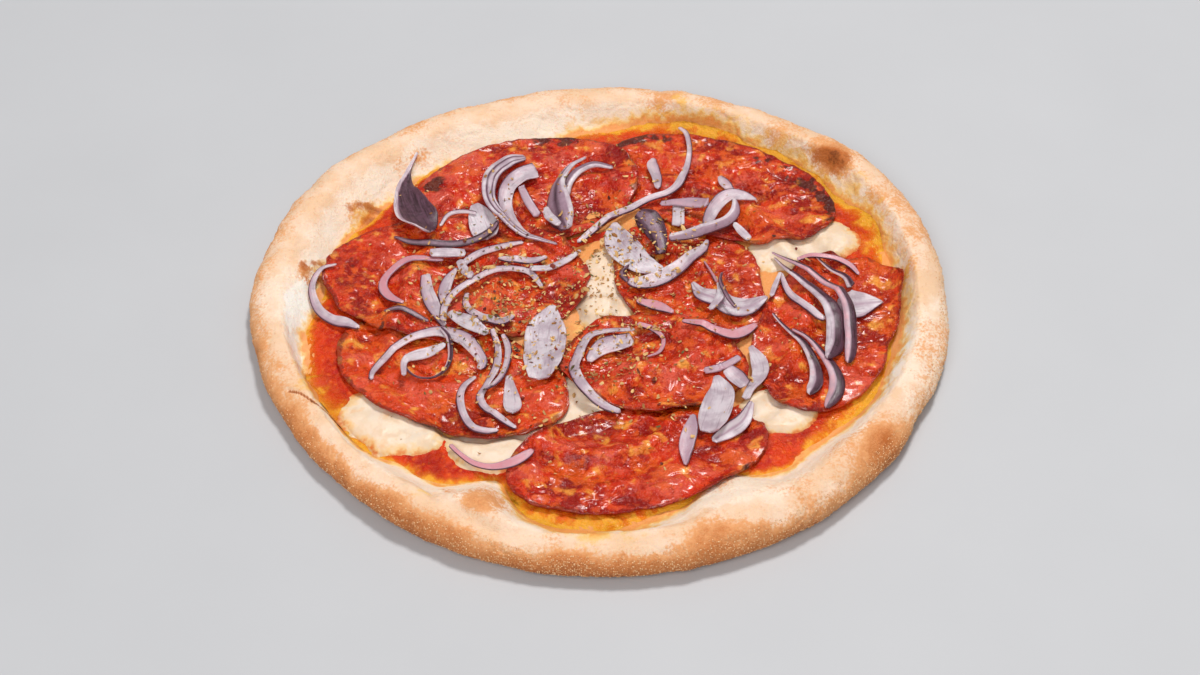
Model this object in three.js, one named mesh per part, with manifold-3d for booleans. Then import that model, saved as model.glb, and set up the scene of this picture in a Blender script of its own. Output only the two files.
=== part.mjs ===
// A whole spicy salami pizza, uncut: a baked dough base with a puffed rim, tomato sauce, melted
// mozzarella, eight oval salami slices and strips and petals of red onion, with dried herb flakes.
// Millimetres, +Z up. The origin is the middle of the flat underside, and -Y faces the viewer.
import * as THREE from "three";
import { mergeVertices } from "three/addons/utils/BufferGeometryUtils.js";
import Module from "manifold-3d";

const wasm = await Module();
wasm.setup();

// ---------------------------------------------------------------- driving dimensions
const doughRadius = 143.7; // middle of the uneven outer edge
const doughFloor = 3.6; // thickness of the base under the sauce
const footRadius = 115.5; // where the flat base turns up into the rim
const rimHeight = 14.5;
const crestInset = 12; // from the outer edge in to the top of the rim
const undersideInset = 6; // from the outer edge in to where the rim leaves the table
const beltShare = 0.45; // height of the widest part of the rim, as a share of the rim's height
const clearance = 0.3; // air between a topping and what it lies on

const crustSectors = 84;
const sauce = { sectors: 60, rings: 5, thick: 1.7, edge: 0.7, climb: 3.5, lump: 0.35 };
const cheese = { sectors: 18, rings: 3, thick: 1.5, edge: 0.6, lump: 0.2 };
const salami = { sectors: 26, rings: 4, thick: 1.4, edge: 1.1, lump: 0.25 };
const onionThick = 1.7;
const onionStep = 6.5; // length of one stretch of an onion strip

// The rim swells and dips round the pizza. Each entry is a soft swelling at an angle, in degrees
// from +X towards +Y, that fades over a spread in degrees.
const outerSwells = [
  { at: 0, spread: 22, by: 2 },
  { at: 30, spread: 22, by: 4.7 },
  { at: 60, spread: 22, by: -1.2 },
  { at: 90, spread: 22, by: -2.5 },
  { at: 120, spread: 22, by: -1.5 },
  { at: 150, spread: 22, by: 4.2 },
  { at: 178, spread: 16, by: 3 },
  { at: 210, spread: 22, by: -2.8 },
  { at: 240, spread: 22, by: -3.8 },
  { at: 270, spread: 22, by: -2.2 },
];
const footSwells = [
  { at: 10, spread: 26, by: 12.5 },
  { at: 46, spread: 14, by: 7 },
  { at: 68, spread: 12, by: 6.5 },
  { at: 108, spread: 13, by: -6.5 },
  { at: 162, spread: 10, by: 2 },
  { at: 192, spread: 14, by: 10.5 },
  { at: 216, spread: 9, by: 4 },
  { at: 228, spread: 6, by: -2 },
  { at: 245, spread: 7.5, by: -16 },
  { at: 268, spread: 9, by: 2 },
  { at: 296, spread: 8, by: -16 },
  { at: 312, spread: 9, by: -2 },
  { at: 334, spread: 12, by: 3.5 },
];
const heightSwells = [
  { at: 28, spread: 18, by: 1.5 },
  { at: 85, spread: 25, by: -1.5 },
  { at: 150, spread: 20, by: 1 },
  { at: 205, spread: 14, by: -1 },
  { at: 244, spread: 10, by: 1.5 },
  { at: 267, spread: 8, by: -2 },
  { at: 298, spread: 13, by: 2 },
];
// Blisters on the rim: the middle, a radius and a height.
const blisters = [
  { at: [-45, -109], radius: 11, by: 3.6 },
  { at: [-75, -108], radius: 9, by: 1.2 },
  { at: [52, -102], radius: 10, by: 3 },
  { at: [38, -110], radius: 9, by: 2.4 },
  { at: [90, -88], radius: 14, by: 1.5 },
  { at: [108, 84], radius: 9, by: 2 },
  { at: [-103, 60], radius: 9, by: 2 },
  { at: [-124, 25], radius: 7, by: 1.4 },
  { at: [132, 12], radius: 14, by: 1.2 },
];

// Melted mozzarella: the middle, the half length and half width, and the turn in degrees.
const cheesePatches = [
  { at: [3, 10], half: [31, 15], turn: 86 },
  { at: [87, 36], half: [28, 15], turn: 14 },
  { at: [-84, -61], half: [26, 16], turn: -24 },
  { at: [-41, -74], half: [22, 15], turn: 8 },
  { at: [72, -60], half: [17, 12], turn: -12 },
  { at: [-12, -53], half: [19, 15], turn: 28 },
];

// Salami slices from the lowest to the topmost. curl is how far the edge lifts, at the angle
// curlAt, in degrees from +X; the slices are thin, so they follow what they lie on.
const salamiSlices = [
  { at: [39, 16], half: [40, 30], turn: -64, curl: 1.0, curlAt: 30 },
  { at: [-61, -36.5], half: [51, 31], turn: -27, curl: 1.2, curlAt: 240 },
  { at: [95, -16], half: [48, 29], turn: 73, curl: 1.9, curlAt: 330 },
  { at: [14, -83], half: [53, 27], turn: 13, curl: 1.2, curlAt: 250 },
  { at: [55, 72], half: [54, 29], turn: -30, curl: 1.9, curlAt: 20 },
  { at: [-31, 72.5], half: [51, 33.5], turn: 15, curl: 1.9, curlAt: 80 },
  { at: [-60, 20], half: [56, 38], turn: -3, curl: 1.5, curlAt: 235 },
  { at: [22, -32], half: [39, 27], turn: -6, curl: 1.5, curlAt: 285 },
];

// Red onion, lowest first: its stand in degrees (0 lies flat, 90 is on edge), its cup (how hollow
// it is across, as a share of its width), its hop (the height of its arch), and its path: the
// points along its middle, each with the width there.
const onions = [
  { name: "onion_petal_1", stand: 8, cup: 0.14, hop: 0, path: [[8, 51, 2], [8.5, 42, 10], [11.5, 33, 13], [17.5, 26, 11], [24, 23, 7], [28.5, 22.5, 2.5]] },
  { name: "onion_petal_2", stand: 4, cup: 0.1, hop: 0, path: [[-19, 2, 2], [-20.5, -4, 9], [-22, -12, 16], [-22.5, -24, 17.5], [-23.5, -33, 16], [-25, -43, 8]] },
  { name: "onion_petal_3", stand: 5, cup: 0.16, hop: 0, path: [[-37.5, -38, 2], [-36.5, -48, 5.5], [-35.5, -57, 7.5], [-35.5, -62, 5]] },
  { name: "onion_petal_4", stand: 12, cup: 0.1, hop: 0, path: [[100, -3, 6], [106, -5, 13], [112, -4, 10], [119.5, -3, 1]] },
  { name: "onion_petal_5", stand: -15, cup: 0.14, hop: 0, path: [[61, -57, 2], [57.5, -66, 6], [51, -73, 6.5], [44, -78.5, 3]] },
  { name: "onion_petal_6", stand: 15, cup: 0.12, hop: 0, path: [[47.5, -41, 2], [49, -50, 10], [47, -60, 13], [45, -68, 13], [43, -76, 8]] },
  { name: "onion_petal_7", stand: 10, cup: 0.12, hop: 0, path: [[37, -66, 2], [35.5, -74, 6], [33.5, -82, 6], [33, -91, 1.5]] },
  { name: "onion_petal_8", stand: 12, cup: 0.12, hop: 0, path: [[-53.5, 62, 3], [-51, 55, 10], [-48.5, 47, 13], [-47.5, 41, 9]] },
  { name: "onion_petal_9", stand: -10, cup: 0.16, hop: 0, path: [[26.5, 92, 2], [25.5, 86, 5.5], [27, 78, 5], [27.5, 71, 2.5]] },
  { name: "onion_petal_10", stand: 15, cup: -0.1, hop: 0, path: [[18, 55, 5], [22, 50, 11], [25.5, 43, 10], [27.5, 36, 6], [27, 30.5, 4.5]] },
  { name: "onion_petal_11", stand: 15, cup: 0.16, hop: 0, path: [[40, 13, 1.5], [43.5, 5, 6], [49, 0.5, 8.5], [55, -3.5, 9], [62, -3, 8.5], [67.5, 0.5, 5], [71.5, 3.5, 1.5]] },
  { name: "onion_petal_12", stand: -15, cup: 0.1, hop: 0, path: [[14, -18.5, 6], [7, -21, 8], [0, -25, 7], [-5, -31, 3]] },
  { name: "onion_strip_1", stand: 10, cup: 0.05, hop: 0, path: [[-111.5, 27, 1.5], [-118, 24, 2.5], [-121.5, 14, 3], [-118.5, 3.5, 4], [-112.5, -3.5, 4.5], [-106.5, -6.5, 5], [-100, -10, 2]] },
  { name: "onion_strip_2", stand: 5, cup: 0.05, hop: 0, path: [[-66, 30, 2], [-75, 29.5, 3], [-83, 29, 3.5], [-89.5, 22, 3.5], [-91.5, 15, 4], [-88.5, 8, 4], [-82, 1, 2]] },
  { name: "onion_strip_3", stand: 15, cup: 0.05, hop: 0, path: [[-55.5, 10, 2], [-56, 3, 3], [-53, -4.5, 3.5], [-47.5, -9, 3.5], [-41, -9, 3.5], [-35.5, -4, 2]] },
  { name: "onion_strip_4", stand: -10, cup: 0.08, hop: 0, path: [[-60.5, 27, 1.5], [-64, 18.5, 4.5], [-65.5, 10, 5], [-65, 1.5, 3]] },
  { name: "onion_strip_5", stand: 8, cup: 0.08, hop: 0, path: [[-73.5, 20.5, 4], [-72.5, 11, 6], [-69.5, 1, 6], [-64.5, -11, 2.5]] },
  { name: "onion_strip_6", stand: 10, cup: 0.05, hop: 0, path: [[-93.5, -41.5, 2], [-93, -36, 2.5], [-89, -29, 3], [-80, -19, 3.5], [-69.5, -14.5, 4.5], [-61, -16, 6], [-53.5, -21.5, 6], [-48.5, -29, 4.5], [-49, -34, 3.5]] },
  { name: "onion_strip_7", stand: 10, cup: 0.08, hop: 0, path: [[-63, -4, 3], [-57.5, -8.5, 6], [-52, -13.5, 6.5], [-46, -18.5, 3]] },
  { name: "onion_strip_8", stand: 30, cup: 0, hop: 0, path: [[-66, -13.5, 1.5], [-62.5, -19, 2.4], [-61.5, -27, 2.6], [-64.5, -35.5, 2.4], [-70, -40.5, 1.8], [-75.5, -40, 1.4], [-79.5, -35, 1.4], [-80, -31, 1]] },
  { name: "onion_strip_9", stand: 10, cup: 0.05, hop: 0, path: [[-44.5, -17, 2], [-42, -25, 3], [-42.5, -34, 3.4], [-46.5, -43, 3], [-49, -50, 3.4], [-46, -58, 3.4], [-40, -65, 3.2], [-34, -70, 2]] },
  { name: "onion_strip_10", stand: 10, cup: 0.05, hop: 0, path: [[-51, -38, 2], [-55.5, -43.5, 3], [-57, -51, 3.4], [-55.5, -60, 3.2], [-51.5, -68, 3.2], [-46, -71, 3], [-41, -71, 2]] },
  { name: "onion_strip_11", stand: 10, cup: 0.05, hop: 0, path: [[-60.5, -76, 2], [-56.5, -81, 2], [-50.5, -86, 2.5], [-43.5, -88.5, 3], [-36, -88, 4], [-30.5, -85, 4], [-27, -82, 2]] },
  { name: "onion_strip_12", stand: 15, cup: 0.05, hop: 0, path: [[-59, 27.5, 2.5], [-55.5, 31.5, 3.5], [-50, 34.5, 3.5], [-43, 35.5, 3.2], [-31.5, 36.5, 1.5]] },
  { name: "onion_strip_13", stand: 10, cup: 0.05, hop: 0, path: [[34.5, -12.5, 1.5], [41, -15, 3], [48, -18.5, 4], [55, -19.5, 5], [61, -16.5, 4.5], [66, -12.5, 2]] },
  { name: "onion_strip_14", stand: 10, cup: 0.12, hop: 0, path: [[62.5, -24, 2], [65.5, -34, 7], [65, -43, 6], [61, -50, 4], [58.5, -56, 3.5]] },
  { name: "onion_strip_15", stand: 10, cup: 0.06, hop: 0, path: [[73, -5, 1], [80, -19.5, 2], [85.5, -28, 3.5], [88, -37, 4.5], [88, -46, 6], [86, -53, 7]] },
  { name: "onion_strip_16", stand: 10, cup: 0.05, hop: 0, path: [[78, 19, 2], [80.5, 6, 3.2], [85, -2.5, 3.5], [91, -9.5, 3.5], [94.5, -12, 2.5]] },
  { name: "onion_strip_17", stand: 8, cup: 0.08, hop: 0, path: [[36.5, 64, 5.5], [36, 56, 5.5], [35.5, 47, 5.5]] },
  { name: "onion_strip_18", stand: -12, cup: 0.1, hop: 1, path: [[-26, 84, 8.5], [-33, 81, 8], [-38, 74, 7.5], [-40, 65, 6.5], [-38, 56, 5], [-34, 48, 3.5], [-29, 42.5, 2]] },
  { name: "onion_strip_19", stand: -10, cup: -0.05, hop: 1, path: [[8, 83, 2], [0, 86, 3.5], [-7, 82, 4], [-12, 75, 4.5], [-13.5, 68, 4]] },
  { name: "onion_strip_20", stand: -10, cup: 0.08, hop: 0, path: [[48, 38.5, 1.5], [45, 31, 4.5], [39, 25, 6], [32, 19.5, 6.5], [24, 14.5, 7], [17, 12.5, 6], [12.5, 13.5, 3]] },
  { name: "onion_strip_21", stand: 15, cup: 0.05, hop: 0, path: [[15, -15, 2], [4, -15.5, 3], [-5, -19, 4], [-9, -30, 4.5], [-10.5, -40, 5], [-6.5, -50, 4.5], [0, -56.5, 4], [8, -60, 2.5]] },
  { name: "onion_skin_1", stand: 30, cup: 0, hop: 0, path: [[-88, 43, 1], [-80, 40, 2.6], [-66, 38.5, 3.2], [-54, 39.5, 3.2], [-46, 43, 3], [-42.5, 49, 1.6]] },
  { name: "onion_skin_2", stand: -18, cup: 0.14, hop: 0, path: [[-79.5, 96, 1], [-83.5, 86, 2.5], [-84, 76, 8], [-81.5, 64, 15], [-78, 53, 18], [-74.5, 46, 13], [-72, 42.5, 6]] },
  { name: "onion_skin_3", stand: 20, cup: -0.14, hop: 1, path: [[-4, 90, 1.5], [-11, 83, 3], [-16, 73, 5.5], [-17, 62, 12], [-15.5, 52, 12], [-13, 43, 5]] },
  { name: "onion_arc_1", stand: -10, cup: 0, hop: 2, path: [[-31, 92, 3], [-39, 88, 7], [-45, 79, 7], [-47, 68, 6], [-45.5, 58, 5], [-39.5, 48, 4], [-31, 40.5, 3], [-17, 36, 1.5]] },
  { name: "onion_arc_2", stand: -10, cup: 0.05, hop: 2, path: [[38.5, 112, 2], [41.5, 106, 2.4], [42.5, 94, 2.4], [40.5, 82, 3], [37, 72.5, 4], [32, 68, 3.5], [25, 65.5, 3.2], [17.5, 61.5, 3.5], [10, 56, 3.8], [3.5, 50.5, 3.2], [-4, 43.5, 3], [-8.5, 39.5, 2]] },
  { name: "onion_arc_3", stand: -15, cup: 0.08, hop: 2, path: [[70.5, 60.5, 1], [64.5, 62, 5], [58, 62, 6.5], [52, 57, 6], [48.5, 50, 5], [47.5, 45, 3]] },
  { name: "onion_arc_4", stand: -20, cup: -0.06, hop: 2, path: [[60.5, 59, 1.5], [60.5, 53, 4.5], [56, 47, 5], [49, 42.5, 5], [41, 39.5, 5], [31, 38, 3.5]] },
  { name: "onion_arc_5", stand: 15, cup: 0.05, hop: 2, path: [[-65, -11, 3], [-64.5, -3, 3.2], [-61, 6.5, 3], [-54.5, 13, 3], [-46, 18, 3], [-35.5, 21.5, 3], [-28.5, 21, 3], [-23.5, 14, 2]] },
  { name: "onion_arc_6", stand: -10, cup: -0.06, hop: 1, path: [[80, -19, 1.5], [87, -26, 2.5], [93, -37, 4.5], [96, -46, 6], [95.5, -53, 6.5], [92, -60, 6]] },
  { name: "onion_arc_7", stand: -10, cup: -0.08, hop: 1, path: [[76, 28, 1], [84, 13, 3], [93.5, 0, 5], [98, -12, 7.5], [97.5, -28, 8], [95, -36, 6]] },
  { name: "onion_arc_8", stand: -15, cup: -0.08, hop: 2, path: [[75, 30, 1], [87, 17.5, 3], [98, 5, 4.5], [103.5, -8, 5], [104, -24, 5.5], [102.5, -36, 5]] },
];

// Dried herb flakes, thickest over the middle of the pizza.
const herbs = { count: 64, middle: [-8, 8], spread: 46, half: [1.5, 0.7, 0.5], seed: 7 };

const colours = {
  crust: 0xe3b985,
  sauce: 0xb8340f,
  cheese: 0xf4e3b4,
  salami: 0xb42a1a,
  onion: 0xbfb0bd,
};

// ---------------------------------------------------------------- shared shape functions
const degrees = (angle) => THREE.MathUtils.radToDeg(angle);

// A base value plus soft bell-shaped swellings round the circle.
function swelling(base, swells, angle) {
  return swells.reduce((sum, swell) => {
    const apart = THREE.MathUtils.euclideanModulo(degrees(angle) - swell.at + 180, 360) - 180;
    return sum + swell.by * Math.exp(-((apart / swell.spread) ** 2));
  }, base);
}

// An irregular wave round a circle, about -1 to 1, different for each seed.
function wobble(angle, seed) {
  let sum = 0;
  for (let lobes = 2; lobes <= 6; lobes++) {
    sum += Math.sin(lobes * angle + seed * lobes * 1.7) / lobes;
  }
  return sum;
}

// Low lumps over the plane, about -1 to 1.
function lumps(x, y, size, seed) {
  const along = Math.sin(x / size + seed) * Math.cos(y / size - 2 * seed);
  const across = Math.sin((x + y) / (1.7 * size) + 3 * seed) * Math.sin((x - y) / (1.3 * size));
  return 0.6 * along + 0.4 * across;
}

const outerRadius = (angle) => swelling(doughRadius, outerSwells, angle) + 0.5 * wobble(3 * angle, 2);
const innerRadius = (angle) => swelling(footRadius, footSwells, angle) + 0.8 * wobble(2 * angle, 5);
const crestHeight = (angle) => swelling(rimHeight, heightSwells, angle) + 0.4 * wobble(3 * angle, 9);

// How far the blisters lift the rim at a place.
function blisterLift(radius, angle) {
  const [x, y] = [radius * Math.cos(angle), radius * Math.sin(angle)];
  return blisters.reduce((sum, blister) => {
    const apart = Math.hypot(x - blister.at[0], y - blister.at[1]);
    return sum + blister.by * Math.exp(-((apart / blister.radius) ** 2));
  }, 0);
}

// A point of the dough's skin. way runs 0 to 1 over the flat base, 1 to 2 up the inside of the
// rim to its crest, 2 to 3 down the outside to the widest part, and 3 to 4 in to the underside.
function crustPoint(way, angle) {
  const outer = outerRadius(angle);
  const foot = innerRadius(angle);
  const crest = outer - crestInset;
  const height = crestHeight(angle);
  const belt = beltShare * height;
  let radius;
  let z;
  if (way <= 1) {
    radius = foot * way;
    z = doughFloor;
  } else if (way <= 2) {
    radius = THREE.MathUtils.lerp(foot, crest, way - 1);
    z = THREE.MathUtils.lerp(doughFloor, height, THREE.MathUtils.smoothstep(way, 1, 2));
    z += blisterLift(radius, angle);
  } else if (way <= 3) {
    const turn = ((way - 2) * Math.PI) / 2;
    radius = crest + (outer - crest) * Math.sin(turn);
    z = belt + (height - belt) * Math.cos(turn);
    z += blisterLift(radius, angle) * (3 - way);
  } else {
    const turn = ((way - 3) * Math.PI) / 2;
    radius = outer - undersideInset * (1 - Math.cos(turn));
    z = belt * (1 - Math.sin(turn));
  }
  return new THREE.Vector3(radius * Math.cos(angle), radius * Math.sin(angle), z);
}

// ---------------------------------------------------------------- geometry helpers
// Only positions, with shared corners merged and collapsed triangles dropped.
function welded(geometry) {
  geometry.deleteAttribute("normal");
  geometry.deleteAttribute("uv");
  const merged = mergeVertices(geometry, 1e-4);
  const index = [...merged.index.array];
  const kept = [];
  for (let i = 0; i < index.length; i += 3) {
    const [a, b, c] = index.slice(i, i + 3);
    if (a !== b && b !== c && c !== a) kept.push(a, b, c);
  }
  merged.setIndex(kept);
  return merged;
}

function movePoints(geometry, place) {
  const position = geometry.attributes.position;
  const point = new THREE.Vector3();
  for (let i = 0; i < position.count; i++) {
    point.fromBufferAttribute(position, i);
    place(point, i);
    position.setXYZ(i, point.x, point.y, point.z);
  }
  return geometry;
}

// A round sheet of unit radius and two faces, as a lathe of a flat profile: y is 1 on the upper
// face and 0 on the lower one, and both faces are split alike.
function unitSheet(rings, sectors) {
  const shares = Array.from({ length: rings + 1 }, (_, ring) => ring / rings);
  const upper = shares.map((share) => new THREE.Vector2(share, 1));
  const lower = shares.map((share) => new THREE.Vector2(share, 0)).reverse();
  return welded(new THREE.LatheGeometry([...lower.reverse(), ...upper.reverse()], sectors));
}

// The height of everything laid so far, on a grid of 1 mm cells, and which piece is on top.
class Relief {
  constructor() {
    this.half = 160;
    this.size = 2 * this.half + 1;
    this.top = new Float32Array(this.size ** 2);
    this.owner = new Array(this.size ** 2).fill("");
  }

  cell(x, y) {
    const column = Math.round(x) + this.half;
    const row = Math.round(y) + this.half;
    return row * this.size + column;
  }

  // The highest point within about a millimetre and a half.
  above(x, y) {
    let highest = 0;
    for (const [dx, dy] of [[0, 0], [1, 0], [-1, 0], [0, 1], [0, -1], [1, 1], [1, -1], [-1, 1], [-1, -1]]) {
      highest = Math.max(highest, this.top[this.cell(x + dx, y + dy)]);
    }
    return highest;
  }

  lay(geometry, name) {
    eachSample(geometry, 0.5, (point) => {
      const cell = this.cell(point.x, point.y);
      if (point.z > this.top[cell]) {
        this.top[cell] = point.z;
        this.owner[cell] = name;
      }
    });
  }
}

// Calls visit with points spread over every triangle, with their weights and corners.
function eachSample(geometry, spacing, visit) {
  const { position } = geometry.attributes;
  const { array: index } = geometry.index;
  const corners = [new THREE.Vector3(), new THREE.Vector3(), new THREE.Vector3()];
  const point = new THREE.Vector3();
  for (let i = 0; i < index.length; i += 3) {
    corners.forEach((corner, k) => corner.fromBufferAttribute(position, index[i + k]));
    const [a, b, c] = corners;
    const longest = Math.max(a.distanceTo(b), b.distanceTo(c), c.distanceTo(a));
    const steps = Math.max(1, Math.ceil(longest / spacing));
    for (let u = 0; u <= steps; u++) {
      for (let v = 0; v <= steps - u; v++) {
        const weights = [1 - (u + v) / steps, u / steps, v / steps];
        point.set(0, 0, 0);
        corners.forEach((corner, k) => point.addScaledVector(corner, weights[k]));
        visit(point, weights, i);
      }
    }
  }
}

// Lowers nothing and raises each group of corners until the whole piece clears what it lies on.
// Between raises the groups are eased towards their neighbours, as a stiff sheet bridges dips.
function settle(geometry, groups, groupCount, relief, easing) {
  const { position } = geometry.attributes;
  const { array: index } = geometry.index;
  const shape = Float32Array.from({ length: position.count }, (_, i) => position.getZ(i));
  const height = new Float64Array(groupCount);
  const seen = new Array(groupCount).fill(false);
  groups.forEach((group, i) => {
    const needed = relief.above(position.getX(i), position.getY(i)) + clearance;
    height[group] = seen[group] ? Math.max(height[group], needed) : needed;
    seen[group] = true;
  });
  const neighbours = Array.from({ length: groupCount }, () => new Set());
  for (let i = 0; i < index.length; i += 3) {
    for (const [p, q] of [[0, 1], [1, 2], [2, 0]]) {
      neighbours[groups[index[i + p]]].add(groups[index[i + q]]);
      neighbours[groups[index[i + q]]].add(groups[index[i + p]]);
    }
  }
  const write = () => groups.forEach((group, i) => position.setZ(i, shape[i] + height[group]));
  const raise = () => {
    let worst = 0;
    write();
    const lift = new Float64Array(groupCount);
    eachSample(geometry, 1.2, (point, weights, i) => {
      const short = relief.above(point.x, point.y) + clearance - point.z;
      if (short <= 0) return;
      worst = Math.max(worst, short);
      const total = weights.reduce((sum, weight) => sum + weight * weight, 0);
      weights.forEach((weight, k) => {
        const group = groups[index[i + k]];
        lift[group] = Math.max(lift[group], (short * weight) / total);
      });
    });
    lift.forEach((by, group) => (height[group] += by));
    return worst;
  };
  for (let pass = 0; pass < easing; pass++) {
    const eased = height.map((own, group) => {
      const around = [...neighbours[group]].map((other) => height[other]);
      return 0.4 * own + (0.6 * around.reduce((sum, z) => sum + z, 0)) / around.length;
    });
    height.set(eased);
    raise();
  }
  for (let pass = 0; pass < 60 && raise() > 0.01; pass++);
  write();
}

// ---------------------------------------------------------------- the pieces
function crustGeometry() {
  const ways = [0, 0.5, 0.85, 1, 1.2, 1.4, 1.6, 1.8, 2, 2.2, 2.4, 2.6, 2.8, 3, 3.3, 3.6, 4];
  const profile = ways.map((way) => new THREE.Vector2(way, 0));
  profile.push(new THREE.Vector2(0, -1)); // the middle of the underside
  const geometry = welded(new THREE.LatheGeometry(profile.reverse(), crustSectors));
  return movePoints(geometry, (point) => {
    if (point.y < -0.5) point.set(0, 0, 0);
    else point.copy(crustPoint(Math.hypot(point.x, point.z), Math.atan2(point.x, point.z)));
  });
}

// A thin layer with an outline, draped over what is under it. Its faces share one thickness,
// which runs out towards the edge.
function layerGeometry({ rings, sectors, thick, edge, lump }, outline, middle, seed, relief, curl) {
  const geometry = unitSheet(rings, sectors);
  const groups = [];
  const places = new Map();
  movePoints(geometry, (point, i) => {
    const share = Math.hypot(point.x, point.z);
    const angle = Math.atan2(point.x, point.z);
    const reach = outline(angle) * share;
    const x = middle[0] + reach * Math.cos(angle);
    const y = middle[1] + reach * Math.sin(angle);
    const lift = curl ? curl(angle) * share ** 5 : 0;
    const depth = THREE.MathUtils.lerp(thick, edge, share ** 4) + lump * (1 + lumps(x, y, 4, seed));
    const key = `${x.toFixed(3)},${y.toFixed(3)}`;
    if (!places.has(key)) places.set(key, places.size);
    groups[i] = places.get(key);
    point.set(x, y, lift + (point.y > 0.5 ? depth : 0));
  });
  settle(geometry, groups, places.size, relief, 3);
  return geometry;
}

// An oval with an irregular edge: the radius at an angle from its middle.
function unevenOval([halfLength, halfWidth], turn, uneven, seed) {
  const heading = THREE.MathUtils.degToRad(turn);
  return (angle) => {
    const own = angle - heading;
    const oval = 1 / Math.hypot(Math.cos(own) / halfLength, Math.sin(own) / halfWidth);
    return oval * (1 + uneven * wobble(angle, seed));
  };
}

function onionGeometry({ path, stand, cup, hop }, relief) {
  const curve = new THREE.CatmullRomCurve3(path.map(([x, y]) => new THREE.Vector3(x, y, 0)));
  const steps = THREE.MathUtils.clamp(Math.round(curve.getLength() / onionStep), 4, 14);
  const geometry = welded(new THREE.BoxGeometry(1, 1, 1, steps, Math.abs(cup) < 0.09 ? 1 : 2, 1));
  const tilt = THREE.MathUtils.degToRad(stand);
  const groups = [];
  movePoints(geometry, (point, i) => {
    const share = point.x + 0.5;
    const middle = curve.getPointAt(share);
    const ahead = curve.getTangentAt(share);
    const side = new THREE.Vector3(-ahead.y, ahead.x, 0);
    const corner = Math.min(curve.getUtoTmapping(share) * (path.length - 1), path.length - 1.001);
    const before = Math.floor(corner);
    const width = THREE.MathUtils.lerp(path[before][2], path[before + 1][2], corner - before);
    const across = point.y * width;
    const depth = onionThick * (0.5 + 0.5 * Math.min(1, width / 4));
    const through = point.z * depth + cup * width * (4 * point.y ** 2 - 0.5);
    groups[i] = Math.round(share * steps);
    point.copy(middle);
    point.addScaledVector(side, across * Math.cos(tilt) - through * Math.sin(tilt));
    point.z = across * Math.sin(tilt) + through * Math.cos(tilt) + hop * Math.sin(Math.PI * share);
  });
  settle(geometry, groups, steps + 1, relief, 2);
  return geometry;
}

// ---------------------------------------------------------------- herb flakes
// Repeatable random numbers from 0 to 1.
function randomNumbers(seed) {
  let state = seed;
  return () => {
    state = (state * 1664525 + 1013904223) % 4294967296;
    return state / 4294967296;
  };
}

const solidOf = (geometry) =>
  new wasm.Manifold(
    new wasm.Mesh({
      numProp: 3,
      vertProperties: geometry.attributes.position.array,
      triVerts: new Uint32Array(geometry.index.array),
    }),
  );

function geometryOf(solid) {
  const { vertProperties, triVerts } = solid.getMesh();
  const geometry = new THREE.BufferGeometry();
  geometry.setAttribute("position", new THREE.BufferAttribute(vertProperties, 3));
  geometry.setIndex(new THREE.BufferAttribute(triVerts, 1));
  return geometry;
}

function flakeGeometry(x, y, z, heading) {
  const geometry = welded(new THREE.OctahedronGeometry(1));
  geometry.scale(...herbs.half);
  geometry.rotateZ(heading);
  geometry.translate(x, y, z);
  return geometry;
}

// Whether only this piece is on top within a few millimetres of a place.
function isOpenSurface(relief, x, y, name, reach) {
  for (let dx = -reach; dx <= reach; dx++) {
    for (let dy = -reach; dy <= reach; dy++) {
      if (relief.owner[relief.cell(x + dx, y + dy)] !== name) return false;
    }
  }
  return true;
}

// Fuses herb flakes to the slices and the cheese wherever these are bare.
function strewHerbs(pieces, relief) {
  const random = randomNumbers(herbs.seed);
  const strewn = [];
  for (let tries = 0; tries < 4000 && strewn.length < herbs.count; tries++) {
    const distance = herbs.spread * Math.sqrt(-2 * Math.log(1 - random()));
    const bearing = 2 * Math.PI * random();
    const x = herbs.middle[0] + distance * Math.cos(bearing);
    const y = herbs.middle[1] + distance * Math.sin(bearing);
    if (Math.hypot(x, y) > footRadius - 12) continue;
    const name = relief.owner[relief.cell(x, y)];
    if (!/^(salami|mozzarella)/.test(name) || !isOpenSurface(relief, x, y, name, 4)) continue;
    if (strewn.some((other) => Math.hypot(other[0] - x, other[1] - y) < 4)) continue;
    strewn.push([x, y]);
    const flake = flakeGeometry(x, y, relief.top[relief.cell(x, y)], Math.PI * random());
    pieces.set(name, geometryOf(solidOf(pieces.get(name)).add(solidOf(flake))));
  }
}

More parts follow.
